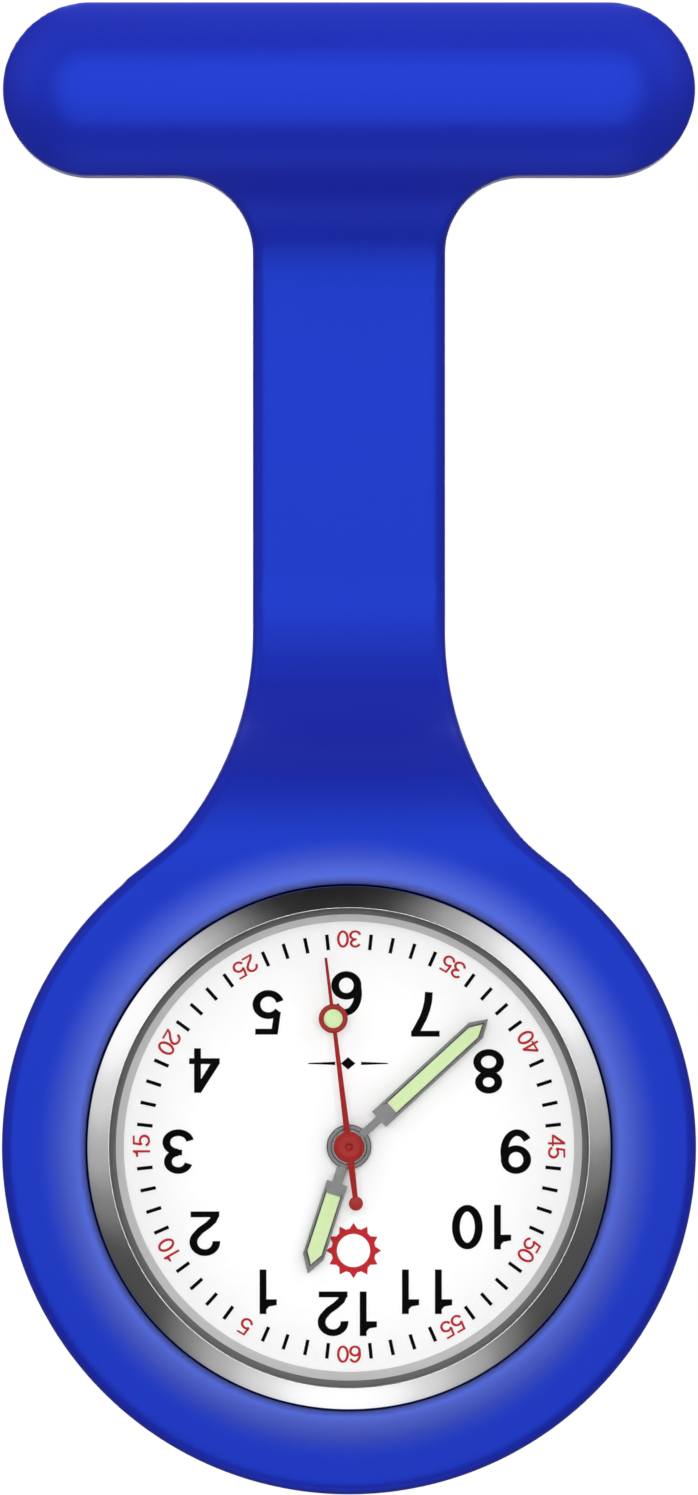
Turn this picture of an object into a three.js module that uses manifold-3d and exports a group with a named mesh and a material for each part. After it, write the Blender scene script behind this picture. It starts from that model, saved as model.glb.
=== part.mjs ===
// Fob watch: a round quartz watch head in the pocket of a soft silicone T-bar holder,
// which hangs from a brooch pin behind the bar.
//
// Units are millimetres. +X is to the right, +Z is up, and the dial looks towards -Y, so a
// smaller y is nearer to the reader. The origin is the middle of the bar's back face, where the
// pin holds it to cloth. The dial hangs upside down, with twelve at -Z, so that the wearer reads
// it by lifting the watch.

import * as THREE from 'three';
import { mergeVertices } from 'three/addons/utils/BufferGeometryUtils.js';
import Module from 'manifold-3d';

const wasm = await Module();
wasm.setup();

// ---------------------------------------------------------------- driving dimensions

const LARGE = 40; // segments round a large circle
const MEDIUM = 24; // round a movement part
const SMALL = 12; // round a pin, a pipe or a hole
const RUNNING_GAP = 0.04; // radial clearance of a pivot in its hole

// Silicone holder. Its back is the plane y = 0.
const BAR = { length: 40, radius: 5, axisY: -2.3 };
const STRAP = { halfWidth: 5.575, thickness: 2.4, top: -9.4, bottom: -31.4, edge: 0.6 };
const SPLIT_GAP = 0.1; // between the bar, the strap and the pocket, which are one moulding
const ROOT_FILLET = 4.4; // where the strap meets the bar
const FLARE_RADIUS = 18.15; // where the strap widens into the pocket
const POCKET = { radius: 20, bore: 15.25, window: 12, ledge: -0.8, lip: -8.7, flat: -7.6 };
const CROWN_RECESS = { depth: 16.2, halfHeight: 1.9, back: -2.1, front: -5.9 };

// Brooch pin behind the bar
const BROOCH_PLATE = { halfLength: 16.2, halfHeight: 2.2, back: -0.65, front: -1.2 };
const NEEDLE = { radius: 0.35, y: 1.5, hingeX: -14.7, eye: 0.95, halfEye: 0.65, tipX: 15.5 };
const EAR = { thickness: 0.5, radius: 0.9 };
const RIVET = { radius: 0.38, head: 0.62, headHeight: 0.25 };
const CATCH = { left: 12.6, right: 14.2, outer: 1.35, bore: 1.0, slot: 0.5 };
const CATCH_ROTOR = { outer: 0.95, bore: 0.5, slot: 0.45, collar: 1.25, collarWidth: 0.45, tab: 2.0 };

// Watch head, about the axis x = 0, z = HEAD_Z
const HEAD_Z = -61.07;
const BEZEL = { outer: 15.06, inner: 14.07, seat: 13.55, front: -9.6, back: -7.42 };
const CASE = { outer: 14.9, dialSeat: 13.65, bore: 12.6, front: -7.4, ledge: -5.6, back: -1.6 };
const CRYSTAL = { radius: 13.75, front: -9.3, back: -8.1 };
const CRYSTAL_GASKET = { inner: 13.78, outer: 14.04, front: -9.2, back: -8.12 };
const REHAUT = { outer: 13.6, front: -7.4, back: -6.02, innerFront: 13.5, innerBack: 13.0 };
const DIAL = { radius: 13.6, hole: 0.8, front: -6.0, back: -5.6 };
const CASE_BACK = {
  radius: 14.3, outside: -0.85, inside: -1.55, boss: 11.6, bossBack: -0.6,
  rimOuter: 12.5, rimInner: 11.9, rimFront: -2.3,
};
const BACK_GASKET = { inner: 12.72, outer: 13.3, front: -1.95, back: -1.6, grooveOuter: 13.36 };

// Crown and setting works, on the axis that runs to -X from the centre
const STEM_Y = -4.0;
const CROWN = { radius: 1.5, start: 13.5, end: 14.9, cavity: 1.25, cavityEnd: 14.35, flutes: 22 };
const CROWN_NOTCH = { start: 13.4, halfSize: 1.6 };
const CROWN_TUBE = { radius: 0.9, bore: 0.4, end: 14.05 };
const CROWN_GASKET = { inner: 0.94, outer: 1.22, start: 13.75, end: 14.25 };
const STEM = { radius: 0.3, start: 5.0, end: 14.7, neck: 0.18, neckAt: 8.1, neckWidth: 0.36 };
const CLUTCH = { radius: 0.72, bore: 0.34, start: 5.2, end: 6.4 };
const LEVER = { pivotRise: 2.0, radius: 0.5, front: -5.08, back: -4.86, pin: 0.14, pinEnd: -4.21 };

// Movement
const MOVEMENT = 10.0; // radius of the main plate
const PLATE = { front: -4.8, back: -3.9, rimInner: 9.3, rimFront: -5.52 };
const MOVEMENT_RING = { inner: 10.05, outer: 12.5, front: -5.55, back: -2.5 };
const BRIDGE = { front: -2.35, back: -1.95 };
const PILLAR_RADIUS = 0.5;
const SCREW = { head: 0.5, headHeight: 0.25, shank: 0.22, length: 1.3, slot: 0.14 };
const ARBOR = 0.1; // radius of a wheel's arbor
const BATTERY = { radius: 3.4, cap: 2.9, front: -4.45, back: -2.3, away: 6.2, angle: 100 };
const STATOR = { front: -2.9, back: -2.5, hole: 0.95, ring: 1.5 };
const COIL = { radius: 0.75, halfLength: 3.8, y: -3.1, z: -7.0, coreHalfLength: 5.2 };
const BOARD = { inner: 6.4, outer: 9.7, front: -3.85, back: -3.55, from: -50, to: 55 };
const QUARTZ = { radius: 0.75, x: 7.9, bottom: -2.2, top: 2.8 };

// Gear train: teeth, and the module of each pair. A pair's centres lie
// module * (teeth + teeth) / 2 apart.
const TEETH = {
  rotor: 8, intermediate: 40, intermediatePinion: 10, seconds: 60, secondsPinion: 8,
  third: 64, thirdPinion: 8, centre: 60, cannon: 12, minute: 36, minutePinion: 10, hour: 40,
};
// A tooth's height above and below the pitch circle, in modules, and half the width of a flat tip,
// in pitches. Teeth of this form clear their neighbours all through a pitch.
const TOOTH = { above: 0.65, below: 1.15, land: 0.08 };
const MODULE = { rotor: 0.09, seconds: 0.075, third: 0.075, centre: 0.0794, minute: 0.11, hour: 0.1056 };
const LEVEL = { // each [back, front]
  hour: [-5.25, -5.45], minute: [-4.9, -5.15], centre: [-3.55, -3.75],
  third: [-3.15, -3.35], seconds: [-2.7, -2.9], magnet: [-2.45, -3.05],
};
const MAGNET_RADIUS = 0.75;
const CANNON = { outer: 0.35, bore: 0.18, front: -7.0 };
const HOUR_PIPE = { outer: 0.6, bore: 0.41, front: -6.6 };

// Hands. Each angle is in degrees clockwise from twelve.
const HOUR_HAND = {
  angle: 18, back: -6.4, front: -6.56, hub: 1.29, neck: 0.6, start: 2.2, width: 1.24,
  shoulder: 6.67, tip: 7.7, lumeStart: 2.9, lumeShoulder: 6.45, lumeTip: 7.13, lumeWidth: 0.87,
};
const MINUTE_HAND = {
  angle: 227.4, back: -6.82, front: -6.98, hub: 1.05, neck: 0.45, start: 2.35, width: 1.2,
  shoulder: 9.95, tip: 10.9, lumeStart: 3.35, lumeShoulder: 9.75, lumeTip: 10.45, lumeWidth: 0.77,
};
const SECOND_HAND = {
  angle: 173, back: -7.24, front: -7.4, hub: 0.88, tip: 11.0, tipWidth: 0.15, rootWidth: 0.37,
  ringAt: 7.46, ring: 0.84, lume: 0.58, tailAt: 3.28, tail: 0.41, tailWidth: 0.45, tailEndWidth: 0.28,
};
const INSERT_GAP = 0.03; // between a lume insert and its window
const DIAL_WASHER = { inner: 0.72, outer: 1.6, back: -5.5, front: -5.58 };

// ---------------------------------------------------------------- materials

function material(color, roughness, metalness) {
  return new THREE.MeshStandardMaterial({ color, roughness, metalness });
}

const SILICONE = material(0x223cc4, 0.5, 0);
const POLISHED_STEEL = material(0xd9dadc, 0.15, 1);
const BRUSHED_STEEL = material(0xb8babd, 0.35, 1);
const HAND_STEEL = material(0x848484, 0.3, 1);
const REHAUT_GREY = material(0xcbcbcb, 0.4, 0.2);
const DIAL_WHITE = material(0xf8f8f8, 0.6, 0);
const LUME = material(0xd7f3b4, 0.7, 0);
const SECOND_RED = material(0xa03332, 0.45, 0);
const GLASS = material(0xf4f8fa, 0.05, 0);
const RUBBER_BLACK = material(0x1c1c1e, 0.8, 0);
const NYLON_WHITE = material(0xe6e4dc, 0.6, 0);
const BRASS = material(0xc9a659, 0.35, 1);
const COPPER = material(0xb4652f, 0.4, 1);
const BOARD_GREEN = material(0x1f5a3a, 0.6, 0);
const MAGNET_GREY = material(0x55585c, 0.5, 0.8);

// ---------------------------------------------------------------- solid tools

// A closed mesh as a solid: shared vertices are merged and collapsed triangles dropped.
function toSolid(geometry) {
  geometry.deleteAttribute('normal');
  geometry.deleteAttribute('uv');
  const merged = mergeVertices(geometry, 1e-4);
  const corners = merged.index.array;
  const triangles = [];
  for (let i = 0; i < corners.length; i += 3) {
    const [a, b, c] = corners.slice(i, i + 3);
    if (a !== b && b !== c && c !== a) {
      triangles.push(a, b, c);
    }
  }
  const vertProperties = new Float32Array(merged.attributes.position.array);
  const triVerts = new Uint32Array(triangles);
  return new wasm.Manifold(new wasm.Mesh({ numProp: 3, vertProperties, triVerts }));
}

function toGeometry(solid) {
  const mesh = solid.getMesh();
  const geometry = new THREE.BufferGeometry();
  geometry.setAttribute('position', new THREE.BufferAttribute(mesh.vertProperties, 3));
  geometry.setIndex(new THREE.BufferAttribute(mesh.triVerts, 1));
  return geometry;
}

function combine(operation, base, others) {
  let solid = toSolid(base);
  for (const other of others) {
    solid = solid[operation](toSolid(other));
  }
  return toGeometry(solid);
}

const joined = (base, ...others) => combine('add', base, others);
const cut = (base, ...tools) => combine('subtract', base, tools);
const common = (base, ...others) => combine('intersect', base, others);

// ---------------------------------------------------------------- basic forms

const radians = THREE.MathUtils.degToRad;

// A solid of revolution about Y. The outline is a list of [radius, y] corners, and it closes on
// itself unless both of its ends are on the axis.
function turned(outline, segments = LARGE) {
  const points = outline.map(([radius, y]) => new THREE.Vector2(radius, y));
  const onAxis = points[0].x === 0 && points.at(-1).x === 0;
  if (!onAxis) {
    points.push(points[0].clone());
  }
  if (THREE.ShapeUtils.area(points) < 0) {
    points.reverse();
  }
  return new THREE.LatheGeometry(points, segments);
}

function disc(radius, back, front, segments = LARGE) {
  return turned([[0, front], [radius, front], [radius, back], [0, back]], segments);
}

function ring(inner, outer, back, front, segments = LARGE) {
  return turned([[inner, front], [outer, front], [outer, back], [inner, back]], segments);
}

// Turns a form made about Y so that its y becomes the distance towards -X.
function towardsCrown(geometry) {
  return geometry.rotateZ(Math.PI / 2);
}

// A pin along Z
function pinZ(radius, bottom, top, segments = SMALL) {
  return disc(radius, top, bottom, segments).rotateX(Math.PI / 2);
}

function box(left, right, front, back, bottom, top) {
  const geometry = new THREE.BoxGeometry(right - left, back - front, top - bottom);
  return geometry.translate((left + right) / 2, (front + back) / 2, (bottom + top) / 2);
}

// A flat plate with its outline in X and Z
function plate(shape, back, front, curveSegments = 6) {
  const settings = { depth: back - front, bevelEnabled: false, curveSegments };
  return new THREE.ExtrudeGeometry(shape, settings).rotateX(Math.PI / 2).translate(0, back, 0);
}

// A prism along X, centred on x = 0, with its outline in Y and Z
function prism(shape, width, curveSegments = 8) {
  const settings = { depth: width, bevelEnabled: false, curveSegments };
  const geometry = new THREE.ExtrudeGeometry(shape, settings);
  return geometry.rotateX(Math.PI / 2).rotateZ(Math.PI / 2).translate(-width / 2, 0, 0);
}

function polygon(points) {
  return new THREE.Shape(points.map(([a, b]) => new THREE.Vector2(a, b)));
}

function circle(x, z, radius) {
  return new THREE.Shape().absarc(x, z, radius, 0, 2 * Math.PI, false);
}

function polarPoint(distance, angle) {
  return [distance * Math.cos(angle), distance * Math.sin(angle)];
}

// A place in the dial's plane, its direction being in degrees from +X towards +Z
function polar(distance, degrees) {
  const [x, z] = polarPoint(distance, radians(degrees));
  return { x, z };
}

// ---------------------------------------------------------------- silicone holder

function smoothStep(t) {
  const clamped = Math.min(Math.max(t, 0), 1);
  return clamped * clamped * (3 - 2 * clamped);
}

// The side view of a stretch of holder whose front runs smoothly from one depth to another
function slopedSide(top, frontAtTop, bottom, frontAtBottom, steps) {
  const points = [[0, top]];
  for (let i = 0; i <= steps; i += 1) {
    const t = i / steps;
    points.push([frontAtTop + (frontAtBottom - frontAtTop) * smoothStep(t), top + (bottom - top) * t]);
  }
  points.push([0, bottom]);
  return polygon(points);
}

function holderBar() {
  const capsule = new THREE.CapsuleGeometry(BAR.radius, BAR.length - 2 * BAR.radius, 5, 24);
  capsule.rotateZ(Math.PI / 2).translate(0, BAR.axisY, 0);

  const wing = STRAP.halfWidth + ROOT_FILLET;
  const webTop = -BAR.radius + 1.5;
  const web = new THREE.Shape();
  web.moveTo(-wing, webTop);
  web.lineTo(-wing, -BAR.radius);
  web.absarc(-wing, STRAP.top, ROOT_FILLET, Math.PI / 2, 0, true);
  web.absarc(wing, STRAP.top, ROOT_FILLET, Math.PI, Math.PI / 2, true);
  web.lineTo(wing, webTop);
  const webDepth = -4.2;
  const side = slopedSide(webTop, webDepth, STRAP.top, -STRAP.thickness, 6);
  const root = common(plate(web, 0, webDepth), prism(side, 2 * wing + 1));

  const margin = 0.5;
  const length = BROOCH_PLATE.halfLength + margin;
  const height = BROOCH_PLATE.halfHeight + margin;
  const band = 5; // half the width of the band that holds the plate
  const bandFront = BROOCH_PLATE.back + 0.05;
  const tunnel = box(-length, length, BROOCH_PLATE.front - 0.05, bandFront, -height, height);
  const leftWindow = box(-length, -band, bandFront - 0.01, 1, -height, height);
  const rightWindow = box(band, length, bandFront - 0.01, 1, -height, height);
  const behind = box(-BAR.length, BAR.length, 0, BAR.radius, -BAR.length, BAR.length);
  return cut(joined(capsule, root), behind, tunnel, leftWindow, rightWindow);
}

function holderStrap() {
  const { halfWidth, thickness, edge } = STRAP;
  const section = new THREE.Shape();
  section.moveTo(-halfWidth + edge, -thickness);
  section.lineTo(halfWidth - edge, -thickness);
  section.absarc(halfWidth - edge, -thickness + edge, edge, -Math.PI / 2, 0, false);
  section.absarc(halfWidth - edge, -edge, edge, 0, Math.PI / 2, false);
  section.absarc(-halfWidth + edge, -edge, edge, Math.PI / 2, Math.PI, false);
  section.absarc(-halfWidth + edge, -thickness + edge, edge, Math.PI, 1.5 * Math.PI, false);
  const top = STRAP.top - SPLIT_GAP;
  const depth = top - STRAP.bottom;
  const settings = { depth, bevelEnabled: false, curveSegments: 4, steps: 4 };
  const strap = new THREE.ExtrudeGeometry(section, settings);
  return strap.translate(0, 0, STRAP.bottom);
}

function holderPocket() {
  const { radius, bore, window, ledge, lip, flat } = POCKET;
  const backEdge = 1.0;
  const frontEdge = 1.4;
  const outline = new THREE.Path();
  outline.moveTo(window, 0);
  outline.lineTo(radius - backEdge, 0);
  outline.absarc(radius - backEdge, -backEdge, backEdge, Math.PI / 2, 0, true);
  outline.lineTo(radius, flat + frontEdge);
  outline.absarc(radius - frontEdge, flat + frontEdge, frontEdge, 0, -Math.PI / 2, true);
  outline.bezierCurveTo(radius - 2.6, flat, bore + 2, lip, bore, lip);
  outline.lineTo(bore, ledge);
  outline.lineTo(window, ledge);
  const puck = turned(outline.getPoints(2).map((point) => [point.x, point.y]));
  puck.translate(0, 0, HEAD_Z);

  // Each flare arc ends where its circle first meets the pocket's circle.
  const top = STRAP.bottom - SPLIT_GAP;
  const arcX = STRAP.halfWidth + FLARE_RADIUS;
  const drop = STRAP.bottom - HEAD_Z;
  const apart = Math.hypot(arcX, drop);
  const spread = Math.acos((apart ** 2 + FLARE_RADIUS ** 2 - radius ** 2) / (2 * apart * FLARE_RADIUS));
  const meetAngle = Math.atan2(drop, arcX) - spread;
  const neck = new THREE.Shape();
  neck.moveTo(-STRAP.halfWidth, top);
  neck.absarc(-arcX, STRAP.bottom, FLARE_RADIUS, 0, -meetAngle, true);
  neck.lineTo(-window / 2, HEAD_Z + window);
  neck.lineTo(window / 2, HEAD_Z + window);
  neck.absarc(arcX, STRAP.bottom, FLARE_RADIUS, Math.PI + meetAngle, Math.PI, true);
  neck.lineTo(STRAP.halfWidth, top);
  const shoulderZ = HEAD_Z + bore + 2.5;
  const side = slopedSide(top, -STRAP.thickness, shoulderZ, flat, 8);
  const shoulder = box(-radius, radius, flat, 0, HEAD_Z + window - 1, shoulderZ);
  const profile = joined(prism(side, 2 * radius), shoulder);
  const flare = common(plate(neck, 0, flat - 1, 8), profile);

  const hollow = disc(bore, ledge, lip - 1).translate(0, 0, HEAD_Z);
  const back = disc(window, 1, ledge - 1).translate(0, 0, HEAD_Z);
  const { depth, halfHeight } = CROWN_RECESS;
  const recess = box(-depth, -window, CROWN_RECESS.front, CROWN_RECESS.back, -halfHeight, halfHeight);
  recess.translate(0, 0, HEAD_Z);
  return cut(joined(puck, flare), hollow, back, recess);
}

// ---------------------------------------------------------------- brooch pin

function broochBase() {
  const { halfLength, halfHeight, back, front } = BROOCH_PLATE;
  const corner = 1.2;
  const outline = new THREE.Shape();
  outline.moveTo(-halfLength + corner, -halfHeight);
  outline.lineTo(halfLength - corner, -halfHeight);
  outline.absarc(halfLength - corner, -halfHeight + corner, corner, -Math.PI / 2, 0, false);
  outline.absarc(halfLength - corner, halfHeight - corner, corner, 0, Math.PI / 2, false);
  outline.absarc(-halfLength + corner, halfHeight - corner, corner, Math.PI / 2, Math.PI, false);
  outline.absarc(-halfLength + corner, -halfHeight + corner, corner, Math.PI, 1.5 * Math.PI, false);
  const solids = [plate(outline, back, front, 4)];

  const ear = new THREE.Shape();
  ear.moveTo(NEEDLE.hingeX - EAR.radius, back - 0.2);
  ear.lineTo(NEEDLE.hingeX + EAR.radius, back - 0.2);
  ear.absarc(NEEDLE.hingeX, NEEDLE.y, EAR.radius, 0, Math.PI, false);
  ear.holes.push(circle(NEEDLE.hingeX, NEEDLE.y, RIVET.radius + RUNNING_GAP));
  const earStart = NEEDLE.halfEye + 0.1;
  const settings = { depth: EAR.thickness, bevelEnabled: false, curveSegments: 8 };
  for (const bottom of [earStart, -earStart - EAR.thickness]) {
    const lug = new THREE.ExtrudeGeometry(ear, settings);
    solids.push(lug.translate(0, 0, bottom));
  }

  const { left, right, outer, bore, slot } = CATCH;
  const housing = towardsCrown(disc(outer, -left, -right, 24)).translate(0, NEEDLE.y, 0);
  const foot = box(left, right, back - 0.2, NEEDLE.y - bore - 0.1, -0.8, 0.8);
  const base = joined(...solids, housing, foot);
  const hole = towardsCrown(disc(bore, -left + 1, -right - 1, 24)).translate(0, NEEDLE.y, 0);
  const mouth = box(left - 1, right + 1, NEEDLE.y, NEEDLE.y + 2 * outer, -slot, slot);
  return cut(base, hole, mouth);
}

function broochNeedle() {
  const { radius, y, hingeX, eye, halfEye, tipX } = NEEDLE;
  const pointStart = tipX - 3.5;
  const wire = turned([
    [0, -tipX], [0.05, -tipX], [radius, -pointStart], [radius, -hingeX], [0, -hingeX],
  ], SMALL);
  towardsCrown(wire).translate(0, y, 0);
  const boss = pinZ(eye, -halfEye, halfEye, 20).translate(hingeX, y, 0);
  const hole = pinZ(RIVET.radius + RUNNING_GAP, -2, 2).translate(hingeX, y, 0);
  return cut(joined(wire, boss), hole);
}

function broochRivet() {
  const reach = NEEDLE.halfEye + 0.1 + EAR.thickness;
  const parts = [
    pinZ(RIVET.radius, -reach, reach),
    pinZ(RIVET.head, reach, reach + RIVET.headHeight),
    pinZ(RIVET.head, -reach - RIVET.headHeight, -reach),
  ];
  return joined(...parts).translate(NEEDLE.hingeX, NEEDLE.y, 0);
}

function catchRotor() {
  const { outer, bore, slot, collar, collarWidth, tab } = CATCH_ROTOR;
  const left = CATCH.left - 0.05;
  const right = CATCH.right + 0.05;
  const sleeve = disc(outer, -left + collarWidth, -right - collarWidth, 24);
  const nearCollar = disc(collar, -left + collarWidth, -left, 24);
  const farCollar = disc(collar, -right, -right - collarWidth, 24);
  const body = towardsCrown(joined(sleeve, nearCollar, farCollar));
  const thumb = box(right, right + collarWidth, -0.3, 0.3, -tab, -bore - 0.2);
  const hole = towardsCrown(disc(bore, 0, -20, 24));
  const mouth = box(0, 20, 0, 2 * collar, -slot, slot);
  return cut(joined(body, thumb), hole, mouth).translate(0, NEEDLE.y, 0);
}

// ---------------------------------------------------------------- case
// Everything below is made about the head's own axis.

function caseMiddle() {
  const chamfer = 0.4;
  const { outer, dialSeat, bore, front, ledge, back } = CASE;
  const shell = turned([
    [bore, ledge], [bore, BACK_GASKET.front - 0.03], [BACK_GASKET.grooveOuter, BACK_GASKET.front - 0.03],
    [BACK_GASKET.grooveOuter, back], [outer - chamfer, back], [outer, back - chamfer],
    [outer, front], [dialSeat, front], [dialSeat, ledge],
  ]);
  const { start, halfSize } = CROWN_NOTCH;
  const notch = box(-outer - 1, -start, STEM_Y - halfSize, STEM_Y + halfSize, -halfSize, halfSize);
  const tube = towardsCrown(disc(CROWN_TUBE.radius, CROWN_TUBE.end, start - 0.2, SMALL));
  tube.translate(0, STEM_Y, 0);
  const hole = towardsCrown(disc(CROWN_TUBE.bore, outer, bore - 1, SMALL)).translate(0, STEM_Y, 0);
  return cut(joined(cut(shell, notch), tube), hole);
}

function bezel() {
  const { outer, inner, seat, front, back } = BEZEL;
  return turned([
    [seat, back], [outer, back], [outer, front + 0.85], [outer - 0.12, front + 0.4],
    [outer - 0.4, front + 0.08], [outer - 0.65, front], [inner + 0.08, front + 0.3],
    [inner, front + 0.4], [inner, CRYSTAL.back + 0.02], [seat, CRYSTAL.back + 0.02],
  ]);
}

function crystal() {
  const { radius, front, back } = CRYSTAL;
  return turned([[0, back], [radius, back], [radius, front + 0.2], [radius - 0.2, front], [0, front]]);
}

function gasket({ inner, outer, back, front }, segments = LARGE) {
  return ring(inner, outer, back, front, segments);
}

function rehautRing() {
  const { outer, front, back, innerFront, innerBack } = REHAUT;
  return turned([[innerBack, back], [outer, back], [outer, front], [innerFront, front]]);
}

function dialPlate() {
  const face = ring(DIAL.hole, DIAL.radius, DIAL.back, DIAL.front);
  const feet = DIAL_FEET.map((place) => (
    disc(0.35, DIAL.back + 1.1, DIAL.back - 0.1, SMALL).translate(place.x, 0, place.z)
  ));
  return joined(face, ...feet);
}

function caseBack() {
  const { radius, outside, inside, boss, bossBack, rimOuter, rimInner, rimFront } = CASE_BACK;
  const chamfer = 0.25;
  return turned([
    [0, bossBack], [boss, bossBack], [boss, outside],
    [radius - chamfer, outside], [radius, outside - chamfer], [radius, inside],
    [rimOuter, inside], [rimOuter, rimFront], [rimInner, rimFront], [rimInner, inside], [0, inside],
  ]);
}

function crown() {
  const { radius, start, end, cavity, cavityEnd, flutes } = CROWN;
  const knurl = plate(toothed(flutes, radius - 0.08, radius), end, start);
  const hollow = disc(cavity, cavityEnd, start - 1, MEDIUM);
  const stemHole = disc(STEM.radius + 0.03, STEM.end + 0.02, start, SMALL);
  return towardsCrown(cut(knurl, hollow, stemHole)).translate(0, STEM_Y, 0);
}

function settingStem() {
  const { radius, start, end, neck, neckAt, neckWidth } = STEM;
  const neckStart = neckAt - neckWidth / 2;
  const neckEnd = neckAt + neckWidth / 2;
  const stem = turned([
    [0, start], [radius, start], [radius, neckStart], [neck, neckStart],
    [neck, neckEnd], [radius, neckEnd], [radius, end], [0, end],
  ], SMALL);
  return towardsCrown(stem).translate(0, STEM_Y, 0);
}

function clutchWheel() {
  const { radius, bore, start, end } = CLUTCH;
  const wheel = plate(toothed(14, radius - 0.12, radius), end, start);
  return towardsCrown(cut(wheel, disc(bore, end + 1, start - 1, SMALL))).translate(0, STEM_Y, 0);
}

function settingLever() {
  const { pivotRise, radius, front, back, pin, pinEnd } = LEVER;
  const x = -STEM.neckAt;
  const arm = polygon([
    [x - radius, pivotRise], [x - 0.28, -0.25], [x + 0.28, -0.25], [x + radius, pivotRise],
    [x + 0.7, pivotRise + 1.5], [x + 0.1, pivotRise + 1.5],
  ]);
  const head = disc(radius, back, front, SMALL).translate(x, 0, pivotRise);
  const finger = disc(pin, pinEnd, back - 0.1, 12).translate(x, 0, 0);
  const hole = disc(0.3, back + 1, front - 1, SMALL).translate(x, 0, pivotRise);
  return cut(joined(plate(arm, back, front), head, finger), hole);
}

// ---------------------------------------------------------------- gears

// A toothed outline about the axis, with a tooth at the phase angle. The tips are flat on a
// small wheel, and pointed where the teeth are many and fine.
function toothed(teeth, root, tip, phase = 0, land = 0.17) {
  const pitch = (2 * Math.PI) / teeth;
  const tipCorners = teeth > 30 ? [0] : [-land * pitch, land * pitch];
  const points = [];
  for (let i = 0; i < teeth; i += 1) {
    const middle = phase + i * pitch;
    points.push(polarPoint(root, middle - pitch / 2));
    for (const corner of tipCorners) {
      points.push(polarPoint(tip, middle + corner));
    }
  }
  return polygon(points);
}

function gear(teeth, module, [back, front], phase) {
  const pitchRadius = (teeth * module) / 2;
  const root = pitchRadius - TOOTH.below * module;
  const tip = pitchRadius + TOOTH.above * module;
  return plate(toothed(teeth, root, tip, phase, TOOTH.land), back, front);
}

// The phase that puts the next gear in mesh with this one, the next gear's axis being in the
// given direction.
function meshPhase(phase, teeth, direction, nextTeeth) {
  const pitch = (2 * Math.PI) / teeth;
  const place = (radians(direction) - phase) / pitch;
  const part = place - Math.floor(place);
  return radians(direction) + Math.PI + ((part - 0.5) * 2 * Math.PI) / nextTeeth;
}

const pairDistance = (module, a, b) => (module * (a + b)) / 2;

// Directions from one axis to the next, in degrees from +X towards +Z
const DIRECTION = { third: 200, minute: 180, intermediate: 340, rotor: 310 };

const AXIS = {
  third: polar(pairDistance(MODULE.third, TEETH.third, TEETH.secondsPinion), DIRECTION.third),
  minute: polar(pairDistance(MODULE.minute, TEETH.cannon, TEETH.minute), DIRECTION.minute),
  intermediate: polar(
    pairDistance(MODULE.seconds, TEETH.seconds, TEETH.intermediatePinion), DIRECTION.intermediate,
  ),
};
const ROTOR_STEP = polar(pairDistance(MODULE.rotor, TEETH.rotor, TEETH.intermediate), DIRECTION.rotor);
AXIS.rotor = { x: AXIS.intermediate.x + ROTOR_STEP.x, z: AXIS.intermediate.z + ROTOR_STEP.z };

const ARBOR_FRONT = PLATE.back - 0.5;
const ARBOR_BACK = BRIDGE.back - 0.05;

function arbor(radius = ARBOR, back = ARBOR_BACK, front = ARBOR_FRONT) {
  return disc(radius, back, front, 12);
}

function rotor() {
  const towardsIntermediate = DIRECTION.rotor;
  const wheelPhase = meshPhase(0, TEETH.seconds, DIRECTION.intermediate, TEETH.intermediatePinion);
  const phase = meshPhase(wheelPhase, TEETH.intermediate, towardsIntermediate, TEETH.rotor);
  const pinion = gear(TEETH.rotor, MODULE.rotor, LEVEL.third, phase);
  const magnet = disc(MAGNET_RADIUS, ...LEVEL.magnet, MEDIUM);
  return joined(arbor(), pinion, magnet).translate(AXIS.rotor.x, 0, AXIS.rotor.z);
}

function intermediateWheel() {
  const phase = meshPhase(0, TEETH.seconds, DIRECTION.intermediate, TEETH.intermediatePinion);
  const wheel = gear(TEETH.intermediate, MODULE.rotor, LEVEL.third, phase);
  const pinion = gear(TEETH.intermediatePinion, MODULE.seconds, LEVEL.seconds, phase);
  return joined(arbor(), wheel, pinion).translate(AXIS.intermediate.x, 0, AXIS.intermediate.z);
}

function secondsWheel() {
  const wheel = gear(TEETH.seconds, MODULE.seconds, LEVEL.seconds, 0);
  const pinion = gear(TEETH.secondsPinion, MODULE.third, LEVEL.third, 0);
  return joined(arbor(ARBOR, ARBOR_BACK, SECOND_HAND.front), wheel, pinion);
}

const THIRD_PHASE = meshPhase(0, TEETH.secondsPinion, DIRECTION.third, TEETH.third);

function thirdWheel() {
  const wheel = gear(TEETH.third, MODULE.third, LEVEL.third, THIRD_PHASE);
  const pinion = gear(TEETH.thirdPinion, MODULE.centre, LEVEL.centre, THIRD_PHASE);
  return joined(arbor(), wheel, pinion).translate(AXIS.third.x, 0, AXIS.third.z);
}

function centreWheel() {
  const phase = meshPhase(THIRD_PHASE, TEETH.thirdPinion, DIRECTION.third + 180, TEETH.centre);
  const wheel = gear(TEETH.centre, MODULE.centre, LEVEL.centre, phase);
  const pipe = disc(CANNON.outer, LEVEL.centre[0], CANNON.front, SMALL);
  const pinion = gear(TEETH.cannon, MODULE.minute, LEVEL.minute, 0);
  const bore = disc(CANNON.bore, 0, CANNON.front - 1, SMALL);
  return cut(joined(pipe, wheel, pinion), bore);
}

const MINUTE_PHASE = meshPhase(0, TEETH.cannon, DIRECTION.minute, TEETH.minute);

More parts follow.
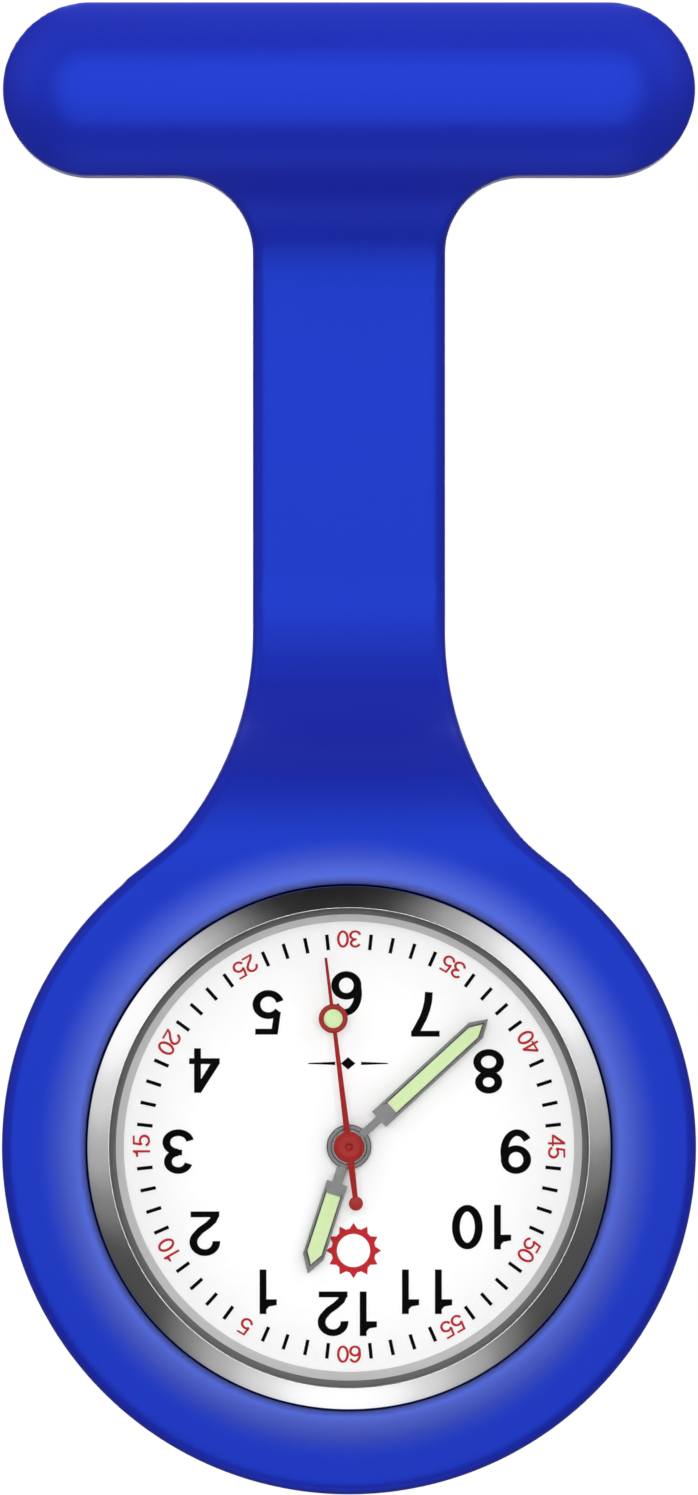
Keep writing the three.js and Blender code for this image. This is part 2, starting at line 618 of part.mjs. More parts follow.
function minuteWheel() {
  const wheel = gear(TEETH.minute, MODULE.minute, LEVEL.minute, MINUTE_PHASE);
  const pinion = gear(TEETH.minutePinion, MODULE.hour, LEVEL.hour, MINUTE_PHASE);
  const post = arbor(ARBOR, PLATE.front + 0.5, LEVEL.hour[1]);
  return joined(wheel, pinion, post).translate(AXIS.minute.x, 0, AXIS.minute.z);
}

function hourWheel() {
  const phase = meshPhase(MINUTE_PHASE, TEETH.minutePinion, DIRECTION.minute + 180, TEETH.hour);
  const wheel = gear(TEETH.hour, MODULE.hour, LEVEL.hour, phase);
  const pipe = disc(HOUR_PIPE.outer, LEVEL.hour[0], HOUR_PIPE.front, SMALL);
  const bore = disc(HOUR_PIPE.bore, 0, HOUR_PIPE.front - 1, SMALL);
  return cut(joined(wheel, pipe), bore);
}

// ---------------------------------------------------------------- movement

const BATTERY_AXIS = polar(BATTERY.away, BATTERY.angle);
const PILLARS = [{ x: -5.3, z: 1.4 }, { x: 5.2, z: 0.8 }];
const CLAMP_POST = { x: -6.2, z: 4.4 };
const CLAMP_THICKNESS = 0.15;
const DIAL_FEET = [polar(8.7, 25), polar(8.7, 205)];

function screwHole(place, back, front) {
  return disc(SCREW.shank + 0.04, back, front, 12).translate(place.x, 0, place.z);
}

function mainPlate() {
  const base = joined(
    disc(MOVEMENT, PLATE.back, PLATE.front),
    ring(PLATE.rimInner, MOVEMENT, PLATE.front + 0.1, PLATE.rimFront),
    disc(0.26, PLATE.front + 0.2, LEVER.front, SMALL).translate(-STEM.neckAt, 0, LEVER.pivotRise),
    disc(0.6, BATTERY.back - 0.02, PLATE.back - 0.1, SMALL).translate(CLAMP_POST.x, 0, CLAMP_POST.z),
  );
  const well = disc(BATTERY.radius + 0.1, PLATE.back + 1, BATTERY.front - 0.05, MEDIUM);
  well.translate(BATTERY_AXIS.x, 0, BATTERY_AXIS.z);
  const stemSlot = box(-MOVEMENT - 1, -STEM.start + 0.3, PLATE.front - 1, PLATE.back + 1, -0.5, 0.5);
  const clutchSlot = box(-CLUTCH.end - 0.2, -CLUTCH.start + 0.2, PLATE.front - 1, PLATE.back + 1, -0.9, 0.9);
  const holes = [AXIS.third, AXIS.intermediate, AXIS.rotor, AXIS.minute].map((place) => (
    disc(ARBOR + RUNNING_GAP, PLATE.back + 1, PLATE.front - 0.1, 12).translate(place.x, 0, place.z)
  ));
  const centreHole = disc(CANNON.outer + 0.07, PLATE.back + 1, PLATE.front - 1, SMALL);
  const feetHoles = DIAL_FEET.map((place) => (
    disc(0.4, PLATE.back + 1, PLATE.front - 1, 12).translate(place.x, 0, place.z)
  ));
  const clampHole = screwHole(CLAMP_POST, BATTERY.back + 1, BATTERY.back - SCREW.length - 0.2);
  return cut(base, well, stemSlot, clutchSlot, ...holes, centreHole, ...feetHoles, clampHole);
}

function trainBridge() {
  const outline = polygon([
    [-6.1, 2.0], [-6.1, 0.4], [-3.6, -1.9], [1.4, -1.9], [3.4, -3.7],
    [4.6, -3.4], [6.0, 0.2], [5.8, 1.7], [0, 2.2],
  ]);
  const pillars = PILLARS.map((place) => (
    disc(PILLAR_RADIUS, BRIDGE.back - 0.1, PLATE.back, SMALL).translate(place.x, 0, place.z)
  ));
  const pivots = [{ x: 0, z: 0 }, AXIS.third, AXIS.intermediate, AXIS.rotor].map((place) => (
    disc(ARBOR + RUNNING_GAP, BRIDGE.back + 1, BRIDGE.front - 0.1, 12).translate(place.x, 0, place.z)
  ));
  const holes = PILLARS.map((place) => screwHole(place, BRIDGE.back + 1, BRIDGE.back - SCREW.length - 0.1));
  return cut(joined(plate(outline, BRIDGE.back, BRIDGE.front), ...pillars), ...pivots, ...holes);
}

// A slotted screw that goes in towards -Y, its head resting on the plane y = seat
function screw(place, seat) {
  const { head, headHeight, shank, length, slot } = SCREW;
  const body = turned([
    [0, seat - length], [shank, seat - length], [shank, seat], [head, seat],
    [head, seat + headHeight], [0, seat + headHeight],
  ], SMALL);
  const groove = box(-1, 1, seat + headHeight - 0.1, seat + 1, -slot / 2, slot / 2);
  return cut(body, groove).translate(place.x, 0, place.z);
}

function stator() {
  const { x, z } = AXIS.rotor;
  const end = COIL.coreHalfLength;
  const foot = COIL.z - 0.6;
  const leftLeg = polygon([
    [-end, foot], [-end + 1.2, foot], [-end + 1.2, -5.8], [2.4, -5.4], [x, z - 1.1], [x - 1.1, z - 0.5],
    [1.6, -4.3], [-end, -4.5],
  ]);
  const rightLeg = polygon([
    [end - 1.2, foot], [end, foot], [end + 0.4, -4.2], [x + 1.2, z], [x, z - 1.1], [end - 1.0, -4.8],
  ]);
  const { front, back, hole } = STATOR;
  const eye = disc(STATOR.ring, back, front, MEDIUM).translate(x, 0, z);
  const opening = disc(hole, back + 1, front - 1, MEDIUM).translate(x, 0, z);
  return cut(joined(plate(leftLeg, back, front), plate(rightLeg, back, front), eye), opening);
}

function coilCore() {
  const halfThickness = 0.15;
  const front = COIL.y - halfThickness;
  const back = COIL.y + halfThickness;
  const end = COIL.coreHalfLength;
  const pad = 1.2; // side of the pad at each end, which rests on the stator
  const bar = box(-end + 0.5, end - 0.5, front, back, COIL.z - 0.4, COIL.z + 0.4);
  const pads = [-end, end - pad].map((left) => (
    box(left, left + pad, front, back, COIL.z - pad / 2, COIL.z + pad / 2)
  ));
  return joined(bar, ...pads);
}

function coil() {
  const winding = ring(0.48, COIL.radius, COIL.halfLength, -COIL.halfLength, 24);
  return towardsCrown(winding).translate(0, COIL.y, COIL.z);
}

function circuitBoard() {
  const { inner, outer, front, back, from, to } = BOARD;
  const outline = new THREE.Shape();
  outline.absarc(0, 0, outer, radians(from), radians(to), false);
  outline.absarc(0, 0, inner, radians(to), radians(from), true);
  return plate(outline, back, front, 12);
}

function quartzCan() {
  const y = BOARD.back + 0.02 + QUARTZ.radius;
  return pinZ(QUARTZ.radius, QUARTZ.bottom, QUARTZ.top, 20).translate(QUARTZ.x, y, 0);
}

function chip() {
  const size = 1.6;
  const { x, z } = polar((BOARD.inner + BOARD.outer) / 2, 40);
  const front = BOARD.back + 0.03;
  return box(x - size / 2, x + size / 2, front, front + 0.5, z - size / 2, z + size / 2);
}

function battery() {
  const { radius, cap, front, back } = BATTERY;
  const cell = turned([
    [0, front], [cap, front], [cap, front + 0.2], [radius, front + 0.2], [radius, back], [0, back],
  ], MEDIUM);
  return cell.translate(BATTERY_AXIS.x, 0, BATTERY_AXIS.z);
}

function batteryClamp() {
  const front = BATTERY.back + 0.03;
  const back = front + CLAMP_THICKNESS;
  const along = new THREE.Vector2(BATTERY_AXIS.x - CLAMP_POST.x, BATTERY_AXIS.z - CLAMP_POST.z).normalize();
  const side = new THREE.Vector2(-along.y, along.x).multiplyScalar(0.7);
  const arm = polygon([
    [CLAMP_POST.x + side.x, CLAMP_POST.z + side.y], [CLAMP_POST.x - side.x, CLAMP_POST.z - side.y],
    [BATTERY_AXIS.x - side.x, BATTERY_AXIS.z - side.y], [BATTERY_AXIS.x + side.x, BATTERY_AXIS.z + side.y],
  ]);
  const foot = disc(0.9, back, front, 20).translate(CLAMP_POST.x, 0, CLAMP_POST.z);
  const pad = disc(1.5, back, front, 20).translate(BATTERY_AXIS.x, 0, BATTERY_AXIS.z);
  const hole = screwHole(CLAMP_POST, back + 1, front - 1);
  return cut(joined(plate(arm, back, front), foot, pad), hole);
}

function movementRing() {
  const { inner, outer, back, front } = MOVEMENT_RING;
  const stemHole = towardsCrown(disc(0.6, outer + 1, inner - 1, SMALL)).translate(0, STEM_Y, 0);
  return cut(ring(inner, outer, back, front), stemHole);
}

// ---------------------------------------------------------------- hands
// Each is made pointing up from the axis.

function bladeOutline(width, start, shoulder, tip) {
  return polygon([
    [-width / 2, start], [width / 2, start], [width / 2, shoulder], [0, tip], [-width / 2, shoulder],
  ]);
}

function hand(form, pipe) {
  const { back, front, hub, neck, start, width, shoulder, tip } = form;
  const window = bladeOutline(form.lumeWidth, form.lumeStart, form.lumeShoulder, form.lumeTip);
  const blade = plate(bladeOutline(width, start, shoulder, tip), back, front);
  const stalk = box(-neck / 2, neck / 2, front, back, 0, start + 0.1);
  const body = joined(blade, stalk, disc(hub, back, front, MEDIUM));
  return cut(body, plate(window, back + 1, front - 1), disc(pipe, back + 1, front - 1, SMALL));
}

function handLume(form) {
  const { back, front, lumeWidth, lumeStart, lumeShoulder, lumeTip } = form;
  const gap = INSERT_GAP;
  const width = lumeWidth - 2 * gap;
  const outline = bladeOutline(width, lumeStart + gap, lumeShoulder - gap / 2, lumeTip - 2 * gap);
  return plate(outline, back, front + 0.02);
}

function secondHand() {
  const { back, front, hub, tip, tipWidth, rootWidth, ringAt, lume, tailAt, tail } = SECOND_HAND;
  const needle = polygon([
    [-rootWidth / 2, 0], [rootWidth / 2, 0], [tipWidth / 2, tip], [-tipWidth / 2, tip],
  ]);
  const tailBar = polygon([
    [-SECOND_HAND.tailWidth / 2, 0], [-SECOND_HAND.tailEndWidth / 2, -tailAt],
    [SECOND_HAND.tailEndWidth / 2, -tailAt], [SECOND_HAND.tailWidth / 2, 0],
  ]);
  const body = joined(
    plate(needle, back, front), plate(tailBar, back, front), disc(hub, back, front, 24),
    disc(SECOND_HAND.ring, back, front, 24).translate(0, 0, ringAt),
    disc(tail, back, front, SMALL).translate(0, 0, -tailAt),
  );
  const window = disc(lume, back + 1, front - 1, 24).translate(0, 0, ringAt);
  return cut(body, window, disc(ARBOR + 0.01, back + 1, front - 1, 12));
}

function secondHandLume() {
  const { back, front, lume, ringAt } = SECOND_HAND;
  return disc(lume - INSERT_GAP, back, front + 0.02, 24).translate(0, 0, ringAt);
}

// ---------------------------------------------------------------- assembly

function piece(parent, name, geometry, look) {
  const mesh = new THREE.Mesh(geometry, look);
  mesh.name = name;
  parent.add(mesh);
  return mesh;
}

// Hangs a piece made pointing up on the head so that it points to its angle on the dial.
function pointed(parent, name, geometry, look, form) {
  const mesh = piece(parent, name, geometry, look);
  mesh.rotation.y = radians(form.angle + 180);
}

const watch = new THREE.Group();

piece(watch, 'holder_bar', holderBar(), SILICONE);
piece(watch, 'holder_strap', holderStrap(), SILICONE);
piece(watch, 'holder_pocket', holderPocket(), SILICONE);
piece(watch, 'brooch_base', broochBase(), POLISHED_STEEL);
piece(watch, 'brooch_needle', broochNeedle(), POLISHED_STEEL);
piece(watch, 'brooch_rivet', broochRivet(), POLISHED_STEEL);
piece(watch, 'catch_rotor', catchRotor(), POLISHED_STEEL);

const head = new THREE.Group();
head.position.z = HEAD_Z;
watch.add(head);

piece(head, 'case_middle', caseMiddle(), BRUSHED_STEEL);
piece(head, 'bezel', bezel(), POLISHED_STEEL);
piece(head, 'crystal', crystal(), GLASS);
piece(head, 'crystal_gasket', gasket(CRYSTAL_GASKET), NYLON_WHITE);
piece(head, 'rehaut_ring', rehautRing(), REHAUT_GREY);
piece(head, 'dial', dialPlate(), DIAL_WHITE);
piece(head, 'case_back', caseBack(), BRUSHED_STEEL);
piece(head, 'case_back_gasket', gasket(BACK_GASKET), RUBBER_BLACK);
piece(head, 'movement_ring', movementRing(), NYLON_WHITE);

piece(head, 'crown', crown(), POLISHED_STEEL);
const crownSeal = ring(CROWN_GASKET.inner, CROWN_GASKET.outer, CROWN_GASKET.end, CROWN_GASKET.start, 24);
piece(head, 'crown_gasket', towardsCrown(crownSeal).translate(0, STEM_Y, 0), RUBBER_BLACK);
piece(head, 'setting_stem', settingStem(), BRUSHED_STEEL);
piece(head, 'clutch_wheel', clutchWheel(), BRUSHED_STEEL);
piece(head, 'setting_lever', settingLever(), BRUSHED_STEEL);

piece(head, 'main_plate', mainPlate(), BRASS);
piece(head, 'train_bridge', trainBridge(), BRUSHED_STEEL);
PILLARS.forEach((place, i) => {
  piece(head, `bridge_screw_${i + 1}`, screw(place, BRIDGE.back + 0.01), BRUSHED_STEEL);
});
piece(head, 'rotor', rotor(), MAGNET_GREY);
piece(head, 'stator', stator(), BRUSHED_STEEL);
piece(head, 'coil', coil(), COPPER);
piece(head, 'coil_core', coilCore(), BRUSHED_STEEL);
piece(head, 'intermediate_wheel', intermediateWheel(), BRASS);
piece(head, 'seconds_wheel', secondsWheel(), BRASS);
piece(head, 'third_wheel', thirdWheel(), BRASS);
piece(head, 'centre_wheel', centreWheel(), BRASS);
piece(head, 'minute_wheel', minuteWheel(), BRASS);
piece(head, 'hour_wheel', hourWheel(), BRASS);
piece(head, 'dial_washer', gasket(DIAL_WASHER, MEDIUM), BRASS);
piece(head, 'circuit_board', circuitBoard(), BOARD_GREEN);
piece(head, 'quartz_can', quartzCan(), BRUSHED_STEEL);
piece(head, 'timing_chip', chip(), RUBBER_BLACK);
piece(head, 'battery', battery(), POLISHED_STEEL);
piece(head, 'battery_clamp', batteryClamp(), BRUSHED_STEEL);
piece(head, 'clamp_screw', screw(CLAMP_POST, BATTERY.back + 0.04 + CLAMP_THICKNESS), BRUSHED_STEEL);

pointed(head, 'hour_hand', hand(HOUR_HAND, HOUR_PIPE.outer + 0.02), HAND_STEEL, HOUR_HAND);
pointed(head, 'hour_hand_lume', handLume(HOUR_HAND), LUME, HOUR_HAND);
pointed(head, 'minute_hand', hand(MINUTE_HAND, CANNON.outer + 0.02), HAND_STEEL, MINUTE_HAND);
pointed(head, 'minute_hand_lume', handLume(MINUTE_HAND), LUME, MINUTE_HAND);
pointed(head, 'second_hand', secondHand(), SECOND_RED, SECOND_HAND);
pointed(head, 'second_hand_lume', secondHandLume(), LUME, SECOND_HAND);

export default watch;
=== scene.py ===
"""Looks of a fob watch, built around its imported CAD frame: a soft silicone holder made as one
skin, a turned and polished watch head, a printed dial, bevelled hands and a steel brooch pin.

Lengths in this file are in millimetres until add_mesh scales them to metres. +X is to the right,
+Z is up and the dial looks towards -Y. The dial hangs upside down, with twelve at -Z.
"""

import math

import bmesh
import bpy
import numpy as np
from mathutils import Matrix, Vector
from mathutils.geometry import delaunay_2d_cdt


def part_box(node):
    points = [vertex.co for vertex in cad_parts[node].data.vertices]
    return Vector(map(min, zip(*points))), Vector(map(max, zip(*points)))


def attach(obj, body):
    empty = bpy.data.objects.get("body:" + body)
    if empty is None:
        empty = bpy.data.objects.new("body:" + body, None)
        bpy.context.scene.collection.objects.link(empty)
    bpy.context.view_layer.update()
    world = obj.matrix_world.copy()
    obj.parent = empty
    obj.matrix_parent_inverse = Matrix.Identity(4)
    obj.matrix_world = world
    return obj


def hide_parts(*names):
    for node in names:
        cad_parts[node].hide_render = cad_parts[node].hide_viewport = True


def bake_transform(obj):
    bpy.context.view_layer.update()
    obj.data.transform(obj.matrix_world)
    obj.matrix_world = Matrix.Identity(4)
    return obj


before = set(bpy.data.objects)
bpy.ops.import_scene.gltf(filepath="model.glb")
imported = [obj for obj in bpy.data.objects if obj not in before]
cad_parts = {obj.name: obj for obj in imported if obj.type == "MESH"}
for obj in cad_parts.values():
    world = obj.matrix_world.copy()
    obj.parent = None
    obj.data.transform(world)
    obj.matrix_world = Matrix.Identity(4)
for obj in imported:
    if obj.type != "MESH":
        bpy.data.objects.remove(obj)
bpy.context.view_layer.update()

MM = 0.001


def box_mm(node):
    """Lowest and highest corner of a CAD node, in millimetres."""
    low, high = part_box(node)
    return np.array(low) / MM, np.array(high) / MM


# ---------------------------------------------------------------- sizes from the frame

BAR_LOW, BAR_HIGH = box_mm("holder_bar")
STRAP_LOW, STRAP_HIGH = box_mm("holder_strap")
POCKET_LOW, POCKET_HIGH = box_mm("holder_pocket")
BEZEL_LOW, BEZEL_HIGH = box_mm("bezel")
CASE_LOW, CASE_HIGH = box_mm("case_middle")
BACK_HIGH = box_mm("case_back")[1]
GLASS_LOW, GLASS_HIGH = box_mm("crystal")
REHAUT_LOW, REHAUT_HIGH = box_mm("rehaut_ring")
DIAL_LOW, DIAL_HIGH = box_mm("dial")

HEAD_Z = (BEZEL_LOW[2] + BEZEL_HIGH[2]) / 2
BAR_HALF = BAR_HIGH[0]
BAR_RADIUS = BAR_HIGH[2]
BAR_AXIS_Y = BAR_LOW[1] + BAR_RADIUS
STRAP_HALF = STRAP_HIGH[0]
STRAP_FRONT = STRAP_LOW[1]
POCKET_RADIUS = POCKET_HIGH[0]
BEZEL_RADIUS = BEZEL_HIGH[0]
DIAL_FRONT = DIAL_LOW[1]
GASKET_SEAT_Y = -7.97
STEM_Y = -4.0  # the axis of the setting stem

# Silicone holder
BAR_POWER = 2.8  # 2 makes the bar round in section, higher powers square it
ROOT_FILLET = 4.4  # between the bar and the strap
ROOT_Z = -BAR_RADIUS - ROOT_FILLET
FLARE_Z = STRAP_LOW[2]
FLARE_RADIUS = 18.15  # where the strap widens into the pocket
# Between the strap's face and the pocket's face: distance below the middle of the bar, and slope.
RAMP_SLOPES = ((28.0, 0.0), (34.0, 0.27), (37.0, 1.1), (40.0, 0.27), (45.0, 0.0))
POCKET_FRONT = -8.45
LIP_HEIGHT = 0.25  # the pocket's face rises by this much where it meets the bezel
LIP_WIDTH = 2.4
HALO_WIDTH = 2.9  # the width of the painted highlight, a pale ring round the bezel
BORE_RADIUS = 15.17
WINDOW_RADIUS = 12.0  # the round hole behind the case back
LEDGE_Y = -0.8  # the floor that the case rests on
SKIN_STEP = 0.3

# Print on the dial
TICK_RING = (11.4, 12.3)
TICK_HALF = 0.1
MINUTE_RING = 11.98
MINUTE_HEIGHT = 1.0
HOUR_HEIGHT = 2.57
HOUR_PLACES = {
    "6": (-0.14, 8.84), "7": (4.42, 7.63), "8": (8.06, 4.34), "9": (9.65, -0.29),
    "10": (7.78, -4.65), "11": (4.37, -8.38), "12": (0.03, -9.65), "1": (-4.80, -8.38),
    "2": (-8.32, -5.03), "3": (-9.88, -0.29), "4": (-8.35, 4.39), "5": (-4.68, 7.75),
}
PRINT_HEIGHT = 0.02
DIGIT_WIDTH = 0.69  # of a digit one unit high
HOUR_ADVANCE = 0.74  # from one digit of a number to the next
MINUTE_ADVANCE = 0.70


# ---------------------------------------------------------------- mesh tools


def add_mesh(name, points, faces, material, sharp_angle=35.0):
    """A new object from points in millimetres, its faces turned outwards."""
    mesh = bpy.data.meshes.new(name)
    mesh.from_pydata((np.asarray(points, float) * MM).tolist(), [], [list(map(int, f)) for f in faces])
    work = bmesh.new()
    work.from_mesh(mesh)
    bmesh.ops.recalc_face_normals(work, faces=work.faces)
    work.to_mesh(mesh)
    work.free()
    mesh.materials.append(material)
    mesh.shade_smooth()
    mesh.set_sharp_from_angle(angle=math.radians(sharp_angle))
    piece = bpy.data.objects.new(name, mesh)
    bpy.context.scene.collection.objects.link(piece)
    return piece


def place(piece, body, slot, *nodes):
    """Hangs a piece on the body it rides on and hides the CAD nodes it stands for. The slot, the finish it
    takes, is not used.
    """
    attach(piece, body)
    if nodes:
        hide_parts(*nodes)
    return piece


def rounded(corners, steps=5):
    """An outline from (a, b, fillet radius) corners, each fillet drawn as an arc."""
    points = []
    count = len(corners)
    for i, (a, b, radius) in enumerate(corners):
        corner = np.array([a, b], float)
        if radius <= 0:
            points.append(corner)
            continue
        before = np.array(corners[i - 1][:2], float) - corner
        after = np.array(corners[(i + 1) % count][:2], float) - corner
        before /= np.linalg.norm(before)
        after /= np.linalg.norm(after)
        half = math.acos(np.clip(before @ after, -1, 1)) / 2
        bisector = (before + after) / np.linalg.norm(before + after)
        centre = corner + bisector * radius / math.sin(half)
        start = corner + before * radius / math.tan(half) - centre
        end = corner + after * radius / math.tan(half) - centre
        sweep = math.pi - 2 * half
        for step in range(steps + 1):
            t = step / steps
            weight_a = math.sin((1 - t) * sweep) / math.sin(sweep)
            weight_b = math.sin(t * sweep) / math.sin(sweep)
            points.append(centre + start * weight_a + end * weight_b)
    return [tuple(p) for p in points]


def turned(profile, segments, centre_z=HEAD_Z):
    """Points and faces of a solid turned about an axis along Y. The profile gives (radius, y); it
    is closed, or has both its ends on the axis."""
    on_axis = abs(profile[0][0]) < 1e-9 and abs(profile[-1][0]) < 1e-9
    points, rings = [], []
    for radius, y in profile:
        if abs(radius) < 1e-9:
            rings.append([len(points)] * segments)
            points.append((0.0, y, centre_z))
            continue
        rings.append(list(range(len(points), len(points) + segments)))
        for i in range(segments):
            angle = 2 * math.pi * i / segments
            points.append((radius * math.sin(angle), y, centre_z + radius * math.cos(angle)))
    faces = []
    pairs = list(zip(rings, rings[1:]))
    if not on_axis:
        pairs.append((rings[-1], rings[0]))
    for lower, upper in pairs:
        for i in range(segments):
            j = (i + 1) % segments
            face = [lower[i], lower[j], upper[j], upper[i]]
            corners = list(dict.fromkeys(face))
            if len(corners) > 2:
                faces.append(corners)
    return points, faces


def smooth_step(t):
    """Rises smoothly from 0 to 1 as t goes from 0 to 1."""
    t = np.clip(t, 0, 1)
    return t * t * (3 - 2 * t)


# ---------------------------------------------------------------- materials


class Recipe:
    """A node material, with short calls for the nodes that the finishes share."""

    def __init__(self, name):
        self.material = bpy.data.materials.new(name)
        self.material.use_nodes = True
        self.tree = self.material.node_tree
        self.shader = self.tree.nodes["Principled BSDF"]
        self.place = self.add("ShaderNodeTexCoord").outputs["Object"]

    def add(self, kind, **settings):
        node = self.tree.nodes.new(kind)
        for key, value in settings.items():
            setattr(node, key, value)
        return node

    def link(self, source, target):
        self.tree.links.new(source, target)

    def set(self, **values):
        for key, value in values.items():
            self.shader.inputs[key.replace("_", " ")].default_value = value

    def noise(self, scale, detail=3.0, roughness=0.5, stretch=None):
        """Noise from 0 to 1 in the object's own space, scale cells to the metre."""
        node = self.add("ShaderNodeTexNoise")
        node.inputs["Scale"].default_value = scale
        node.inputs["Detail"].default_value = detail
        node.inputs["Roughness"].default_value = roughness
        source = self.place
        if stretch:
            mapping = self.add("ShaderNodeMapping")
            mapping.inputs["Scale"].default_value = stretch
            self.link(self.place, mapping.inputs["Vector"])
            source = mapping.outputs["Vector"]
        self.link(source, node.inputs["Vector"])
        return node.outputs["Fac"]

    def between(self, factor, low, high):
        """Maps 0..1 to low..high."""
        node = self.add("ShaderNodeMapRange")
        node.inputs["To Min"].default_value = low
        node.inputs["To Max"].default_value = high
        self.link(factor, node.inputs["Value"])
        return node.outputs["Result"]

    def mix(self, factor, first, second):
        """A colour between two."""
        node = self.add("ShaderNodeMix", data_type="RGBA")
        node.inputs[6].default_value = (*first, 1)
        node.inputs[7].default_value = (*second, 1)
        self.link(factor, node.inputs[0])
        return node.outputs[2]

    def bump(self, height, distance, strength=1.0):
        node = self.add("ShaderNodeBump")
        node.inputs["Distance"].default_value = distance
        node.inputs["Strength"].default_value = strength
        self.link(height, node.inputs["Height"])
        self.link(node.outputs["Normal"], self.shader.inputs["Normal"])

    def colour(self, output):
        self.link(output, self.shader.inputs["Base Color"])

    def rough(self, output):
        self.link(output, self.shader.inputs["Roughness"])


def grained(name, first, second, low, high, scale, metallic=0.0, depth=0.0, stretch=None, **values):
    """A finish whose colour and roughness drift between two limits with a fine grain."""
    recipe = Recipe(name)
    grain = recipe.noise(scale, stretch=stretch)
    recipe.colour(recipe.mix(grain, first, second))
    recipe.rough(recipe.between(grain, low, high))
    if depth:
        recipe.bump(grain, depth)
    recipe.set(Metallic=metallic, **values)
    return recipe.material


PAINTED_HALO = "stretch"  # a value at each point of the silicone, 1 where a painted highlight makes the blue paler round the bezel


def silicone_finish():
    """Royal blue moulded silicone: a satin skin with a very fine matt grain, and a painted highlight
    that makes it paler round the bezel."""
    recipe = Recipe("silicone")
    cloud = recipe.noise(90.0, detail=2.0)
    grain = recipe.noise(5200.0, detail=4.0, roughness=0.6)
    plain = recipe.mix(cloud, (0.0094, 0.0152, 0.292), (0.0103, 0.0168, 0.318))
    # this attribute marks the painted highlight round the bezel, mixed in below as a paler colour
    stretch = recipe.add("ShaderNodeAttribute", attribute_name=PAINTED_HALO)
    blend = recipe.add("ShaderNodeMix", data_type="RGBA")
    recipe.link(stretch.outputs["Fac"], blend.inputs[0])
    recipe.link(plain, blend.inputs[6])
    # a paler blue that paints a soft highlight round the bezel into the colour
    blend.inputs[7].default_value = (0.088, 0.122, 0.46, 1)
    recipe.colour(blend.outputs[2])
    recipe.rough(recipe.between(grain, 0.33, 0.39))
    recipe.bump(grain, 0.000012, 0.5)
    recipe.set(IOR=1.56, Specular_IOR_Level=1.0, Specular_Tint=(0.024, 0.122, 1.0, 1))
    return recipe.material


def glass_finish():
    """Flat coated glass: clear from the front, with a reflection that grows towards grazing angles."""
    recipe = Recipe("mineral_glass")
    clear = recipe.add("ShaderNodeBsdfTransparent")
    gloss = recipe.add("ShaderNodeBsdfGlossy")
    haze = recipe.noise(300.0)
    recipe.link(recipe.between(haze, 0.01, 0.03), gloss.inputs["Roughness"])
    edge = recipe.add("ShaderNodeLayerWeight")
    edge.inputs["Blend"].default_value = 0.5
    grazing = recipe.add("ShaderNodeMath", operation="POWER")
    grazing.inputs[1].default_value = 5.0
    recipe.link(edge.outputs["Facing"], grazing.inputs[0])
    blend = recipe.add("ShaderNodeMixShader")
    recipe.link(grazing.outputs["Value"], blend.inputs["Fac"])
    recipe.link(clear.outputs["BSDF"], blend.inputs[1])
    recipe.link(gloss.outputs["BSDF"], blend.inputs[2])
    output = recipe.tree.nodes["Material Output"]
    recipe.link(blend.outputs["Shader"], output.inputs["Surface"])
    recipe.tree.nodes.remove(recipe.shader)
    return recipe.material


SILICONE = silicone_finish()
GLASS = glass_finish()
POLISHED = grained("polished_steel", (0.80, 0.80, 0.81), (0.86, 0.86, 0.87), 0.16, 0.22, 900.0, 1.0)
STEEL = grained(
    "brushed_steel", (0.50, 0.50, 0.51), (0.62, 0.62, 0.63), 0.28, 0.4, 1500.0, 1.0, 0.000004, (1, 1, 12),
)
REHAUT = grained("rehaut_grey", (0.50, 0.50, 0.505), (0.56, 0.56, 0.565), 0.4, 0.5, 1200.0, 0.0)
GASKET = grained("gasket_grey", (0.10, 0.10, 0.105), (0.14, 0.14, 0.145), 0.5, 0.65, 1600.0, 0.0)
MIRROR = grained("bezel_steel", (0.86, 0.86, 0.87), (0.92, 0.92, 0.93), 0.19, 0.23, 900.0, 1.0)
DIAL = grained("dial_white", (0.94, 0.94, 0.94), (0.97, 0.97, 0.97), 0.5, 0.6, 3000.0, 0.0, 0.000001)
BLACK_INK = grained(
    "black_ink", (0.001, 0.001, 0.001), (0.002, 0.002, 0.002), 0.4, 0.55, 4000.0, Specular_IOR_Level=0.02,
)
RED_INK = grained(
    "red_ink", (0.46, 0.010, 0.018), (0.52, 0.016, 0.024), 0.4, 0.55, 4000.0, Specular_IOR_Level=0.1,
)
RED_LACQUER = grained(
    "red_lacquer", (0.30, 0.014, 0.014), (0.36, 0.020, 0.018), 0.3, 0.4, 2500.0, Specular_IOR_Level=0.12,
)
LUME = grained("lume", (0.57, 0.75, 0.37), (0.64, 0.81, 0.43), 0.6, 0.8, 6000.0, 0.0, 0.000006)
HAND_STEEL = grained("hand_steel", (0.08, 0.08, 0.08), (0.13, 0.13, 0.13), 0.34, 0.44, 2500.0, 1.0)
BLACK_RUBBER = grained("black_rubber", (0.012, 0.012, 0.013), (0.02, 0.02, 0.021), 0.6, 0.8, 2500.0)
NYLON = grained("nylon", (0.74, 0.72, 0.66), (0.80, 0.78, 0.72), 0.5, 0.62, 700.0)
BRASS = grained("brass", (0.56, 0.38, 0.12), (0.66, 0.45, 0.15), 0.25, 0.38, 1300.0, 1.0, 0.000002)
COPPER = grained(
    "copper_wire", (0.42, 0.12, 0.03), (0.58, 0.19, 0.06), 0.3, 0.45, 9000.0, 1.0, 0.00002, (1, 0.02, 0.02),
)
BOARD = grained("board_green", (0.01, 0.09, 0.035), (0.02, 0.14, 0.06), 0.45, 0.6, 1800.0)
MAGNET = grained("magnet_grey", (0.08, 0.085, 0.09), (0.13, 0.135, 0.14), 0.45, 0.6, 1500.0, 0.6)


# ---------------------------------------------------------------- silicone holder


